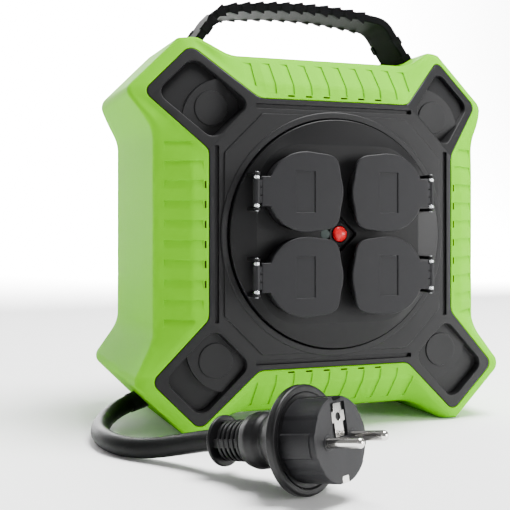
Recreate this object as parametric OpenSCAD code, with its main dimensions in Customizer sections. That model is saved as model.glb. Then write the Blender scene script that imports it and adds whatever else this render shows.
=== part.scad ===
// Extension cord reel in a square closed casing: four covered outlets in the front hub, a cable drum
// inside, a winding disc with a knob at the back, a ribbed carrying handle and a short lead with its plug.
// Millimetres. X is to the right, the outlets face -Y, +Z is up. The casing's mid plane is Y = 0 and it
// stands on Z = 0.

/* [Casing] */
// Centre to the flat that the casing stands on
case_reach = 120.5; // [118:0.5:146]
// Front panel face to rear panel face
case_depth = 146; // [140:1:180]
// How far the four sides are drawn in from the corners
waist_draw = 11.2; // [6:0.1:14]
// Width of the slanted band round the front
bevel_w = 19; // [14:0.5:21]
// Depth of the slanted band
bevel_depth = 16.4; // [10:0.2:20]
// Width of the flat green rim round the panel
rim_w = 9.5; // [6:0.1:11]
// How far the rim's outer crease lies behind the panel face
rim_drop = 2.6; // [1:0.1:4]
// Half width of a corner lug at its end
lug_half = 26.6; // [24:0.1:30]
// Corner radius at the end of a lug
lug_radius = 7; // [4:0.5:8]
// Wall thickness of the shells
wall = 3; // [2:0.1:3.6]
// Angle at which the two upper lugs lean back
lean_top = 26.5; // [10:0.5:28]
// Angle at which the two lower lugs lean back
lean_bottom = 5; // [0:0.5:12]

/* [Panels] */
// Thickness of the black panels
panel_t = 3; // [2.4:0.1:3.4]
// Gap between a panel and the green shell round it
panel_gap = 0.25; // [0.2:0.05:0.4]
// Half width of a panel lug where it leaves the panel
panel_lug_root = 22.1; // [20:0.1:23]
// Half width of a panel lug at its end
panel_lug_half = 20.6; // [18:0.1:21]
// Green wall between a panel lug's end and the casing's
lug_wall = 8; // [6:0.1:9]
// Width of the recess in each lug
pocket_w = 31; // [24:0.5:32]
// Length of the recess in each lug
pocket_l = 40; // [34:0.5:41]
// Depth of the recess in each lug
pocket_depth = 3.6; // [2:0.1:4]
// Radius of the round cap in each recess
cap_r = 10.5; // [8:0.1:12]
// Panel left between the hub opening and the side of the panel
opening_margin = 10.7; // [10:0.1:14]
// Height of the raised lip round the hub opening
lip_h = 1.5; // [1:0.1:3]

/* [Outlets] */
// Half the distance between outlets, sideways
outlet_dx = 27.3; // [26.4:0.1:28]
// Half the distance between outlets, up and down
outlet_dz = 25; // [24.6:0.1:27]
// Radius of an outlet's round recess
outlet_r = 19.9; // [19.6:0.1:20.6]
// Depth of an outlet's round recess
outlet_depth = 17.5; // [16:0.5:18]
// Distance between the two contacts of an outlet or plug
contact_pitch = 19; // [19:1:19]
// Radius of a hinged cover's round side
flap_r = 23.6; // [22.8:0.1:24.2]
// Thickness of a hinged cover
flap_t = 3; // [2:0.1:3.6]
// Outlet centre to the hinge axis of its cover
hinge_reach = 29.8; // [28:0.1:31]
// Radius of a cover's hinge barrel
barrel_r = 2.2; // [1.9:0.1:2.4]

/* [Drum] */
// Gap between the drum flanges and the casing walls
drum_gap = 5.1; // [4:0.1:8]
// Radius of the drum core
core_r = 45; // [40:0.5:50]
// Diameter of the cord
cord_d = 11; // [8:0.1:11]
// Complete layers of cord on the core, outer layer included
cord_layers = 4; // [3:1:4]
// Radius of the winding knob
knob_r = 12; // [9:0.5:14]
// Height of the winding knob above the rear panel face
knob_h = 17.3; // [12:0.1:24]
// Drum centre to the knob's axle
knob_reach = 45; // [38:1:50]

/* [Handle] */
// Width of the handle band, front to back
handle_w = 33; // [26:1:40]
// Thickness of the handle band
handle_t = 5.2; // [4.5:0.1:6.5]
// Height of the handle's top above the casing's corners
handle_rise = 30.3; // [26:0.1:50]
// Ribs along the top of the handle
handle_ribs = 13; // [7:2:13]
// Casing's mid plane to the middle of the band, towards the front
handle_y = 9.5; // [0:0.5:12]

/* [Plug] */
// Radius of the plug's flange
plug_flange_r = 25.7; // [22:0.1:26]
// Radius of the plug's front part
plug_face_r = 19.7; // [19:0.1:19.8]
// Length of the plug's front part
plug_face_l = 19; // [16:0.5:20]
// Radius of a plug pin
pin_r = 2.4; // [2.4:0.1:2.4]
// Free length of a plug pin
pin_l = 19; // [19:1:19]
// Flange to the back end of the plug's strain relief
plug_tail = 53; // [50:1:58]

/* [Hidden] */

$fn = 96;
diagonal = sqrt(2);
centre_z = case_reach;
front_y = -case_depth / 2;
run = 0.07;      // radial clearance of a running fit
fixed = 0.05;    // radial clearance of a fixed fit
eps = 0.1;       // gap between pieces that rest on each other
handle_fit = 0.3; // gap round the handle where it enters the casing

// The lugs' sharp corners reach past the flats above and below, and are cut to them
corner_reach = case_reach + 3.8;
lug_tip = corner_reach * diagonal - lug_half;
waist = case_reach - waist_draw;
rim = waist - bevel_w;
panel_half = rim - rim_w;
panel_flare = panel_half - panel_lug_root * diagonal;
crease = (panel_half + panel_flare) / diagonal;
panel_lug_tip = lug_tip - lug_wall;
waist_flare = 62;
bevel_edge = rim_drop + bevel_depth;
lug_edge = 4;
ledge_w = 2.2;
ledge_t = 2.2;
ledge_depth = panel_t + 0.6;
root_radius = 14;

// Hub
opening_r = panel_half - opening_margin;
lip_r = opening_r + 4.1;
hub_r = opening_r - 0.7;
collar_r = opening_r + 1.6;
bearing_r = collar_r + 2;
skirt_t = 2;
hub_floor = 11;
floor_t = 3;
hub_back = hub_floor + floor_t;
block_front = 6;
block_t = 3;
hinge_x = outlet_dx + hinge_reach;
// The hub's front rises from its round rim to a flat rounded square
rim_front = 4;
face_half = opening_r - 16.4;
face_radius = 28;
flap_front = 17.3;
hinge_h = flap_front - barrel_r;
pin_hinge_r = 1;
collar_top = flap_front - flap_t - 1;
outlet_wall = 2.4;
outlet_floor = 2.8;
outlet_bottom = collar_top - outlet_depth - outlet_floor;
barrel_half = 7.1;
spring_len = 2;
ear_t = 1.9;
ear_gap = 0.2;

// Drum
drum_r = waist - wall - drum_gap;
flange_front_y = front_y + 28.5;
flange_rear_y = -front_y - hub_back - 2.6;
flange_t = 3.5;
rear_flange_t = 2.5;
// Inner radius of the rear shell's sides at the back of the rear flange, and the flange that clears it
rear_wall_r = mix(rim - 1.6, waist - wall,
                  (hub_back - rim_drop - wall - 1) / (bevel_edge + wall - 0.4 - rim_drop - wall - 1));
rear_flange_r = rear_wall_r - 3.5;
core_wall = 2.5;
layer_step = 10;
turn_gap = 0.5;
outer_turn_r = core_r + cord_d / 2 + (cord_layers - 1) * layer_step;
turn_steps = 24;
inner_turns_r = (outer_turn_r - cord_d / 2) * cos(180 / turn_steps) - 0.3;
winding_w = flange_rear_y - flange_front_y;
turn_pitch = cord_d + turn_gap;
turns = floor((winding_w - cord_d - 1) / turn_pitch * 4) / 4;

// Screws and bosses
cap_to_tip = 33.4;
screw_along = panel_lug_tip - cap_to_tip;
boss_r = 6;
screw_r = 1.95;
screw_hole_r = 2;
well_r = 4.3;
carrier_screw_x = 52;
carrier_screw_z = 47;

// Cord: hand-set points from the bush's tip to the plug's strain relief. The plug follows the last.
bush_root = [-104, -2, 14.6];
cord_route = [[-114, -7, 12.6], [-123, -14, 10.5], [-130.5, -23.5, 8.5], [-136, -34.5, 6.9],
              [-139.7, -46.5, 6], [-141.4, -59, 5.6], [-141, -71, 5.6], [-138.5, -82.5, 5.6],
              [-134, -92.5, 5.7], [-127.5, -101.5, 6.4], [-120.4, -109.6, 8], [-113.8, -118, 10.4],
              [-107.3, -127.2, 13.2], [-101.5, -136.7, 15.9], [-96.3, -146.2, 17.6]];
outlet_dir = unit(bush_root - cord_route[0]);
// Length of the tapered bush round the cord, most of it inside the lug, and its radius at both ends
bush_l = 36;
bush_root_r = 9.4;
bush_tip_r = cord_d / 2 + 0.7;
plug_yaw = -61.1;
plug_tilt = 9;
plug_dir = [cos(plug_yaw) * cos(plug_tilt), sin(plug_yaw) * cos(plug_tilt), sin(plug_tilt)];
plug_place = cord_route[len(cord_route) - 1] + plug_tail * plug_dir;

green = "#8FD13F";
black = "#3C3B3D";
dark = "#2E2D2F";
grey = "#505052";
steel = "#B9BCC0";
brass = "#C8A14B";

// ---------- points and outlines ----------
function unit(v) = v / norm(v);
function clamp(v, low, high) = max(low, min(high, v));
function mix(a, b, t) = a + (b - a) * t;

// An arc of radius r that rounds the corner b between its neighbours a and c, in n steps
function round_corner(a, b, c, r, n) =
    let (u = unit(a - b), v = unit(c - b), half = acos(u * v) / 2,
         centre = b + unit(u + v) * (r / sin(half)),
         p = b + u * (r / tan(half)) - centre, q = b + v * (r / tan(half)) - centre,
         sweep = 180 - 2 * half)
    [for (i = [0 : n]) centre + (p * sin(sweep * (1 - i / n)) + q * sin(sweep * i / n)) / sin(sweep)];

// A polygon whose corners are rounded, each with its own radius
function round_poly(points, radii, n = 6) =
    let (m = len(points))
    [for (i = [0 : m - 1]) each round_corner(points[(i + m - 1) % m], points[i], points[(i + 1) % m],
                                             radii[i], n)];

function rect_points(x0, y0, x1, y1) = [[x0, y0], [x1, y0], [x1, y1], [x0, y1]];
function round_rect(x0, y0, x1, y1, r, n = 6) = round_poly(rect_points(x0, y0, x1, y1), [r, r, r, r], n);

// Half of one corner of the casing, from the middle of a side to the middle of a lug's end
corner_steps = 4;
function half_corner(side, flare, tip, half, r_root, r_tip) =
    let (mid = [0, side], root = [flare, side], corner = [tip - half, tip + half] / diagonal,
         end = [tip, tip] / diagonal)
    concat([mid], round_corner(mid, root, corner, r_root, corner_steps),
           round_corner(root, corner, end, r_tip, corner_steps), [end]);

half_n = 2 * corner_steps + 3;
// How much of a lug each point of the half corner is: 0 on the side, 1 on the lug
lug_share = [for (i = [0 : half_n]) i <= 1 ? 0 : i <= corner_steps + 1 ? 0.07 * (i - 1)
                                  : i <= corner_steps + 3 ? 0.86 + 0.07 * (i - corner_steps - 2) : 1];

// The closed outline as [x, z, lug share], clockwise from the middle of the top
function outline(side, flare, tip, half, r_root, r_tip) =
    let (e = half_corner(side, flare, tip, half, r_root, r_tip),
         quarter = concat([for (i = [0 : half_n]) [e[i].x, e[i].y, lug_share[i]]],
                          [for (i = [half_n - 1 : -1 : 1]) [e[i].y, e[i].x, lug_share[i]]]))
    [for (k = [0 : 3]) for (p = quarter)
        k == 0 ? p : k == 1 ? [p.y, -p.x, p.z] : k == 2 ? [-p.x, -p.y, p.z] : [-p.y, p.x, p.z]];

// How far the leaning lug planes lie behind the panel face at a point
function lean_at(x, z) =
    max(0, (abs(x) + abs(z)) / diagonal - crease) * tan(z > 0 ? lean_top : lean_bottom);

// One ring of the shell: its depth on the sides and on the lugs, before the lean is added
function shell_ring(points, depth_side, depth_lug) =
    [for (p = points) [p.x, front_y + mix(depth_side, depth_lug, p.z) + lean_at(p.x, p.y), centre_z + p.y]];

function ring_of(grow, depth_side, depth_lug) =
    shell_ring(outline(panel_half + grow, panel_flare + grow * 0.4, panel_lug_tip + grow,
                       panel_lug_half + grow, 8, max(2, lug_radius - 1.5 + grow)),
               depth_side, depth_lug);

// The depth of the outer edge blends from the bevel on the sides to the leaning lugs
function edge_ring(points, depth_side, depth_lug) =
    [for (p = points) [p.x, front_y + mix(depth_side, depth_lug + lean_at(p.x, p.y), p.z), centre_z + p.y]];

// Flats above and below for the casing to stand on
function cut_flat(points, reach) = [for (p = points) [p.x, clamp(p.y, -reach, reach), p.z]];

outer_points = cut_flat(outline(waist, waist_flare, lug_tip, lug_half, root_radius + 6, lug_radius),
                        case_reach);
inner_points = cut_flat(outline(waist - wall, waist_flare, lug_tip - wall, lug_half - wall, root_radius + 8,
                                lug_radius - 2), case_reach - wall);
crease_points = outline(rim, panel_flare + 3.5, lug_tip - 4.2, lug_half - 3.4, 10, lug_radius - 0.5);
crease_inner = outline(rim - 1.6, panel_flare + 3, lug_tip - 5.6, lug_half - 4.8, 10, lug_radius - 1.5);

shell_rings = [
    [for (p = outer_points) [p.x, 0, centre_z + p.y]],
    edge_ring(outer_points, bevel_edge, lug_edge),
    shell_ring(crease_points, rim_drop, rim_drop - 1.6),
    ring_of(panel_gap, 0, 0),
    ring_of(panel_gap, ledge_depth, ledge_depth),
    ring_of(panel_gap - ledge_w, ledge_depth, ledge_depth),
    ring_of(panel_gap - ledge_w, ledge_depth + ledge_t, ledge_depth + ledge_t),
    shell_ring(crease_inner, rim_drop + wall + 1, ledge_depth + ledge_t),
    edge_ring(inner_points, bevel_edge + wall - 0.4, lug_edge + wall + 2),
    [for (p = inner_points) [p.x, 0, centre_z + p.y]]];

// A closed tube-like skin through rings that each have the same number of points
module ring_skin(rings) {
    n = len(rings[0]);
    m = len(rings);
    polyhedron(
        points = [for (r = rings) each r],
        faces = [for (k = [0 : m - 1]) for (i = [0 : n - 1])
            let (a = k * n, b = ((k + 1) % m) * n, j = (i + 1) % n)
            each [[a + i, a + j, b + j], [a + i, b + j, b + i]]]);
}

// A round tube along points; up is a direction that the tube never runs along
module tube(points, r, sides, up) {
    n = len(points);
    last = (n - 1) * sides;
    along = [for (i = [0 : n - 1]) unit(points[min(i + 1, n - 1)] - points[max(i - 1, 0)])];
    verts = [for (i = [0 : n - 1])
        let (u = unit(cross(along[i], up)), v = cross(u, along[i]))
        for (k = [0 : sides - 1]) points[i] + r * (cos(360 * k / sides) * u + sin(360 * k / sides) * v)];
    polyhedron(
        points = verts,
        faces = concat(
            [for (k = [1 : sides - 2]) [0, k + 1, k]],
            [for (k = [1 : sides - 2]) [last, last + k, last + k + 1]],
            [for (i = [0 : n - 2]) for (k = [0 : sides - 1])
                let (a = i * sides + k, b = i * sides + (k + 1) % sides)
                each [[a, b + sides, a + sides], [a, b, b + sides]]]));
}

// ---------- places ----------
// Face coordinates: x right, y up, z out of the panel towards the viewer, 0 on the panel face
module on_front() {
    translate([0, front_y, centre_z]) rotate([90, 0, 0]) children();
}

module on_rear() {
    mirror([0, 1, 0]) on_front() children();
}

// Drum coordinates: z towards the front, 0 on the casing's mid plane
module on_drum() {
    translate([0, 0, centre_z]) rotate([90, 0, 0]) children();
}

// A lug's own plane: x across it, y outwards from the crease, z out of its surface. 0 and 3 are on top
function lean_of(i) = i == 0 || i == 3 ? lean_top : lean_bottom;
function along_lug(i, along) = (along - crease) / cos(lean_of(i));
module at_lug(i) {
    rotate([0, 0, -(45 + 90 * i)]) translate([0, crease, 0]) rotate([-lean_of(i), 0, 0]) children();
}

// A cylinder along a direction, its near end at place
module rod_along(place, dir, h, r1, r2) {
    translate(place)
        rotate([0, acos(dir.z / norm(dir)), atan2(dir.y, dir.x)]) cylinder(h = h, r1 = r1, r2 = r2);
}

module ring(r_in, r_out, z0, z1) {
    translate([0, 0, z0]) difference() {
        cylinder(h = z1 - z0, r = r_out);
        translate([0, 0, -1]) cylinder(h = z1 - z0 + 2, r = r_in);
    }
}

module slab(points, z0, z1) {
    translate([0, 0, z0]) linear_extrude(z1 - z0) polygon(points);
}

module rod(x, y, z0, z1, r) {
    translate([x, y, z0]) cylinder(h = z1 - z0, r = r);
}

// The diagonal plane of a lug, seen along Y: x across the lug, y outwards from the casing's centre
module on_diagonal(i) {
    rotate([0, 0, -(45 + 90 * i)]) children();
}

outlets = [[-1, 1], [1, 1], [-1, -1], [1, -1]];
module at_outlet(s) {
    translate([s.x * outlet_dx, s.y * outlet_dz, 0]) children();
}

// ---------- casing ----------
function leg_points(grow) =
    let (t = handle_t / 2 + grow, top = case_reach + handle_rise - handle_t / 2,
         path = handle_path(top), m = len(path),
         side = [for (i = [0 : m - 1])
             let (d = unit(path[min(i + 1, m - 1)] - path[max(i - 1, 0)])) [-d.y, d.x]])
    concat([for (i = [0 : m - 1]) path[i] + t * side[i]],
           [for (i = [m - 1 : -1 : 0]) path[i] - t * side[i]]);

// The handle's centre line from its left end to its right end, in face coordinates
handle_foot = [case_reach - 36.5, case_reach - 14];
function arch_at(top, x) = [x, top - x * x / 680];
function handle_path(top) =
    let (knee = [case_reach - 61.3, top - 5.1],
         arch = [for (k = [0 : 5]) arch_at(top, k * (case_reach - 75.5) / 5)],
         right = concat(arch, round_corner(arch[5], knee, handle_foot, 14, 5), [handle_foot]))
    concat([for (i = [len(right) - 1 : -1 : 1]) [-right[i].x, right[i].y]], right);

// The handle's band with an eye at each end for its anchor pin
eye_r = 5;
anchor_r = 2.5;
anchor_grip = 4;
module handle_band(grow) {
    half_w = handle_w / 2 + grow;
    on_drum() translate([0, 0, handle_y]) {
        slab(leg_points(grow), -half_w, half_w);
        for (s = [-1, 1]) rod(s * handle_foot.x, handle_foot.y, -half_w, half_w, eye_r + grow);
    }
}

module anchor_rods(r, half_l) {
    on_drum() translate([0, 0, handle_y]) for (s = [-1, 1])
        rod(s * handle_foot.x, handle_foot.y, -half_l, half_l, r);
}

module outlet_bush_room(grow) {
    rod_along(cord_route[0] + outlet_dir * bush_l, -outlet_dir, bush_l, bush_root_r + grow,
              bush_tip_r + grow);
}

// Posts that join the two shells, each with a rib to the lug's end wall, and pads for the anchor pins.
// In face coordinates of the front.
function boss_drop(i) = tray_depth / cos(lean_of(i)) + boss_r * tan(lean_of(i)) + 0.3;
rib_t = 2.5;
rib_h = 31;
pad_l = 18;
pad_t = 7;
module shell_bosses(pad_shift) {
    mid = -case_depth / 2;
    end_wall = lug_tip - wall + 1.5;
    for (i = [0 : 3]) on_diagonal(i) {
        rod(0, screw_along, mid, -(screw_along - crease) * tan(lean_of(i)) - boss_drop(i), boss_r);
        translate([-rib_t / 2, screw_along + boss_r - 1, mid])
            cube([rib_t, end_wall - screw_along - boss_r + 1, rib_h]);
    }
    intersection() {
        for (i = [0, 3]) on_diagonal(i)
            translate([i == 0 ? -lug_half + 1.5 : 9, end_wall - pad_l, mid + handle_w / 2 + 0.5 + pad_shift])
                cube([lug_half - 10.5, pad_l, pad_t]);
        translate([-case_reach, 0, mid]) cube([2 * case_reach, case_reach - 1.5, -mid]);
    }
}

module shell_half(front) {
    difference() {
        union() {
            ring_skin(shell_rings);
            on_front() shell_bosses(front ? handle_y : -handle_y);
        }
        on_front() for (i = [0 : 3]) on_diagonal(i) {
            if (front) rod(0, screw_along, -case_depth / 2 - 1, -case_depth / 2 + 24, screw_hole_r);
            else {
                rod(0, screw_along, -case_depth / 2 - 1, 0, screw_hole_r);
                rod(0, screw_along, -case_depth / 2 + 4, 0, well_r);
            }
        }
        if (front) shell_cuts();
        else mirror([0, 1, 0]) shell_cuts();
    }
}

// What passes through both shells
module shell_cuts() {
    handle_band(handle_fit);
    anchor_rods(anchor_r + 0.02, handle_w / 2 + anchor_grip + 0.5);
    outlet_bush_room(0.2);
}

module front_shell() {
    color(green) shell_half(true);
}

module rear_shell() {
    color(green) mirror([0, 1, 0]) shell_half(false);
}

// A panel lug's outline in its own plane
function panel_lug_points(i) =
    let (tip = along_lug(i, panel_lug_tip),
         p = [[-panel_lug_root, 0], [-panel_lug_half, tip], [panel_lug_half, tip], [panel_lug_root, 0]])
    concat([p[0]], round_corner(p[0], p[1], p[2], lug_radius - 1.5, 5),
           round_corner(p[1], p[2], p[3], lug_radius - 1.5, 5), [p[3], [panel_lug_root - 3, -3],
           [-panel_lug_root + 3, -3]]);

tray_depth = pocket_depth + 2.9;
module pocket(i, depth, grow) {
    y0 = along_lug(i, screw_along) - 11.3;
    slab(round_rect(-pocket_w / 2 - grow, y0 - grow, pocket_w / 2 + grow, y0 + pocket_l + grow, 5 + grow),
         -depth, 1);
}

module panel(front) {
    octagon = [[panel_flare, panel_half], [panel_half, panel_flare], [panel_half, -panel_flare],
               [panel_flare, -panel_half], [-panel_flare, -panel_half], [-panel_half, -panel_flare],
               [-panel_half, panel_flare], [-panel_flare, panel_half]];
    slot_half = panel_flare + 3.5;
    slot_at = lip_r + 2.2;
    difference() {
        union() {
            slab(octagon, -panel_t, 0);
            for (i = [0 : 3]) at_lug(i) {
                slab(panel_lug_points(i), -panel_t, 0);
                intersection() {
                    pocket(i, tray_depth, 1.2);
                    translate([-30, 0, -20]) cube([60, 80, 20]);
                }
            }
            rotate_extrude() polygon([[opening_r, -panel_t], [opening_r, lip_h - 0.6],
                [opening_r + 0.6, lip_h], [lip_r - 0.8, lip_h], [lip_r, lip_h - 0.8], [lip_r, -panel_t]]);
            ring(bearing_r + fixed, bearing_r + fixed + skirt_t, -hub_back, -panel_t + 0.5);
        }
        rod(0, 0, -panel_t - 1, lip_h + 1, opening_r);
        for (i = [0 : 3]) {
            at_lug(i) pocket(i, pocket_depth, 0);
            if (front) at_lug(i) rod(0, along_lug(i, screw_along), -pocket_depth - 1.2, 0, cap_r + 0.2);
            else on_diagonal(i) rod(0, screw_along, -40, 0, well_r);
        }
        for (i = [0 : 3]) rotate([0, 0, 90 * i])
            translate([-slot_half, slot_at - 1.5, -2]) cube([2 * slot_half, 3, 3]);
    }
}

module front_panel() {
    color(black) on_front() panel(true);
}

module rear_panel() {
    color(black) on_rear() panel(false);
}

module front_screw_caps() {
    color(dark) on_front() for (i = [0 : 3]) at_lug(i) difference() {
        rod(0, along_lug(i, screw_along), -pocket_depth - 1.2 + fixed, -pocket_depth + 0.8, cap_r);
        translate([0, along_lug(i, screw_along), -pocket_depth + 0.4]) ring(cap_r - 1.6, cap_r - 1, 0, 1);
    }
}

module casing_screws() {
    color(steel) on_rear() for (i = [0 : 3]) on_diagonal(i) difference() {
        union() {
            rod(0, screw_along, -case_depth / 2 - 20, -case_depth / 2 + 4.2, screw_r);
            rod(0, screw_along, -case_depth / 2 + 4 + fixed, -case_depth / 2 + 6.6, 3.8);
        }
        for (a = [0, 90]) translate([0, screw_along, -case_depth / 2 + 6.6]) rotate([0, 0, a])
            cube([4, 1, 2.4], center = true);
    }
}

module carry_handle() {
    top = case_reach + handle_rise - handle_t / 2;
    span = case_reach - 65.9;
    pitch = 2 * span / (handle_ribs - 1);
    color(dark) difference() {
        union() {
            handle_band(0);
            for (i = [0 : handle_ribs - 1])
                translate([-span + pitch * i, -handle_y, centre_z + arch_at(top, -span + pitch * i).y])
                    rotate([0, 0, 15.4]) translate([-1.9, -handle_w / 2, -handle_t / 2 - 0.8])
                        cube([3.8, handle_w, handle_t + 2]);
        }
        anchor_rods(anchor_r + fixed, handle_w);
    }
}

module handle_anchor_pins() {
    color(steel) anchor_rods(anchor_r, handle_w / 2 + anchor_grip);
}

module bearing_ring() {
    ring(collar_r + run, bearing_r, -hub_back + 0.6, -panel_t - 0.15);
}

module front_bearing_ring() {
    color("ivory") on_front() bearing_ring();
}

module rear_bearing_ring() {
    color("ivory") on_rear() bearing_ring();
}

module cable_outlet_bush() {
    color(dark) {
        outlet_bush_room(0);
    }
}

module free_cord() {
    color(dark) tube(cord_route, cord_d / 2, 10, [0, 0, 1]);
}

// ---------- plug ----------
// Plug coordinates: z along the plug towards its pins, x down, y to the side, 0 on the flange
module on_plug() {
    translate(plug_place) rotate([0, 90 - plug_tilt, plug_yaw]) children();
}

flange_back = -3;
flange_front = 2;
collar_z = -19;
boot_z = -33;
face_end = flange_front + plug_face_l;
pin_root_r = 2;
pin_nose = 1.6;

module plug_body() {
    color(black) on_plug() {
        rotate_extrude() polygon([[0, boot_z], [10.5, boot_z], [13, boot_z + 3], [13.8, boot_z + 7],
            [13.2, collar_z - 3], [11.8, collar_z], [14, collar_z + 4], [19, -8], [21.5, flange_back],
            [plug_flange_r - 0.8, flange_back], [plug_flange_r, flange_back + 0.8],
            [plug_flange_r, flange_front - 0.8], [plug_flange_r - 0.8, flange_front], [0, flange_front]]);
    }
}

module plug_boot() {
    color(black) on_plug() {
        rod(0, 0, -plug_tail, boot_z - eps / 2, 7.2);
        rod(0, 0, -plug_tail, -plug_tail + 2, 12.6);
        for (k = [0 : 4])
            rod(0, 0, boot_z - 3 - 3.2 * k, boot_z - 1.4 - 3.2 * k, 10.2 - 0.25 * k);
        for (a = [0, 90, 180, 270]) rotate([0, 0, a])
            translate([-2, 0, -plug_tail]) cube([4, 9.2, plug_tail + boot_z - eps / 2]);
    }
}

module plug_face() {
    color(grey) on_plug() difference() {
        union() {
            rod(0, 0, flange_front + eps / 2, face_end, plug_face_r);
            for (s = [-1, 1]) translate([-5.5, s * plug_face_r - 1, flange_front + eps / 2])
                cube([11, 2, plug_face_l - 3]);
        }
        for (s = [-1, 1]) {
            rod(0, s * contact_pitch / 2, flange_front, face_end + 1, pin_root_r + 0.02);
            translate([s * (plug_face_r - 0.4) - 2.5, -3, flange_front]) cube([5, 6, plug_face_l + 1]);
        }
        translate([-plug_face_r + 0.6, -3.6, face_end - 1.2]) cube([12.6, 7.2, 2]);
        rod(-10, 0, flange_front + 4, face_end + 1, 2.6);
    }
}

module plug_pins() {
    color(steel) on_plug() for (s = [-1, 1]) translate([0, s * contact_pitch / 2, 0]) {
        rod(0, 0, flange_front + eps, face_end + eps, pin_root_r);
        rod(0, 0, face_end + eps, face_end + pin_l - pin_nose, pin_r);
        translate([0, 0, face_end + pin_l - pin_nose]) cylinder(h = pin_nose, r1 = pin_r, r2 = 1.4);
    }
}

module plug_earth_contacts() {
    color(steel) on_plug() {
        difference() {
            union() {
                translate([-plug_face_r + 1.1 - 0.9, -2.4, flange_front + eps])
                    cube([0.9, 4.8, plug_face_l - eps - 0.2]);
                translate([-plug_face_r + 0.8, -3, face_end - 1.1]) cube([11.8, 6, 0.9]);
            }
            rod(-10, 0, face_end - 3, face_end + 1, 2.4);
        }
        translate([plug_face_r - 1.1, -2.4, flange_front + eps]) cube([0.9, 4.8, plug_face_l + 0.7]);
        translate([plug_face_r - 3.4, -2.4, face_end + eps]) cube([3.2, 4.8, 0.8 - eps]);
    }
}

// ---------- hub with the outlets ----------
module collar_dish() {
    ring(hub_r - 2.4, hub_r, -hub_back, -1.5);
    rod(0, 0, -hub_back, -hub_floor, hub_r);
    ring(hub_r - 1, collar_r, -hub_back, -panel_t - 0.4);
}

// The hub's front, drop below its surface and inset from its side
module hub_solid(inset, z0, drop) {
    rotate_extrude() polygon([[0, z0], [hub_r - inset, z0], [hub_r - inset, rim_front - drop],
                              [face_half - inset, block_front - drop], [0, block_front - drop]]);
    slab(round_rect(-face_half + inset, -face_half + inset, face_half - inset, face_half - inset,
                    face_radius - inset), z0, block_front - drop);
}

ear_inner = barrel_half + spring_len + ear_gap;
module hinge_ears() {
    for (s = outlets) for (v = [-1, 1])
        translate([s.x * hinge_x, s.y * outlet_dz + v * (ear_inner + ear_t / 2), 0]) {
            translate([-barrel_r, -ear_t / 2, rim_front - 1])
                cube([2 * barrel_r, ear_t, hinge_h - rim_front + 1]);
            translate([0, ear_t / 2, hinge_h]) rotate([90, 0, 0]) cylinder(h = ear_t, r = barrel_r);
        }
}

module hinge_rods(r, reach) {
    for (s = outlets)
        translate([s.x * hinge_x, s.y * outlet_dz + reach, hinge_h]) rotate([90, 0, 0])
            cylinder(h = 2 * reach, r = r);
}

breaker_r = 5.4;
button_r = 4.7;
button_stem_r = 3;
lens_x = -10;
lens_r = 2.9;
module socket_carrier() {
    color(black) on_front() difference() {
        union() {
            hub_solid(0, -hub_back, 0);
            ring(hub_r - 1, collar_r, -hub_back, -panel_t - 0.4);
            hinge_ears();
        }
        difference() {
            hub_solid(2.5, -hub_back - 1, block_t);
            rod(0, 0, -1, block_front, 12);
            for (a = [-1, 1]) {
                rod(a * carrier_screw_x, 0, -hub_back - 1, block_front, 4);
                rod(0, a * carrier_screw_z, -hub_back - 1, block_front, 4);
            }
        }
        for (s = outlets) at_outlet(s)
            rod(0, 0, -hub_back - 1, block_front + 1, outlet_r + outlet_wall + fixed);
        rotate([0, 0, 45]) translate([-8, -8, block_front - 3]) cube([16, 16, 4]);
        rod(0, 0, -3, block_front, breaker_r + fixed);
        rod(lens_x, 0, -3, block_front + 1, lens_r + fixed);
        for (a = [-1, 1]) {
            rod(a * carrier_screw_x, 0, -hub_back - 2, block_front - 4, 1.5);
            rod(0, a * carrier_screw_z, -hub_back - 2, block_front - 4, 1.5);
        }
        hinge_rods(pin_hinge_r + fixed, ear_inner + ear_t + 1);
    }
}

module outlet_insert(s) {
    color(black) on_front() at_outlet(s) difference() {
        union() {
            rod(0, 0, outlet_bottom, collar_top, outlet_r + outlet_wall);
            rod(0, 0, block_front - block_t - 2.5, block_front - block_t - eps,
                outlet_r + outlet_wall + 1.3);
        }
        rod(0, 0, outlet_bottom + outlet_floor, collar_top + 1, outlet_r);
        for (a = [-1, 1]) {
            rod(a * contact_pitch / 2, 0, outlet_bottom - 1, collar_top, 2.7);
            translate([-2.6, a * (outlet_r + 0.2) - 1, outlet_bottom - 1])
                cube([5.2, 2, outlet_floor + outlet_depth - 4]);
        }
    }
}

module outlet_top_left() { outlet_insert(outlets[0]); }
module outlet_top_right() { outlet_insert(outlets[1]); }
module outlet_bottom_left() { outlet_insert(outlets[2]); }
module outlet_bottom_right() { outlet_insert(outlets[3]); }

module outlet_earth_clips() {
    color(brass) on_front() for (s = outlets) at_outlet(s) for (a = [-1, 1])
        translate([-2, a * (outlet_r - 0.4) - 0.4, outlet_bottom - 4])
            cube([4, 0.8, outlet_floor + outlet_depth - 2]);
}

module outlet_contacts() {
    color(brass) on_front() for (s = outlets) at_outlet(s) for (a = [-1, 1])
        translate([a * contact_pitch / 2, 0, 0])
            ring(pin_r + 0.05, 3.4, outlet_bottom - 16, outlet_bottom - eps);
}

module flap_hinge_pins() {
    color(steel) on_front() hinge_rods(pin_hinge_r, ear_inner + ear_t + 0.3);
}

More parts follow.
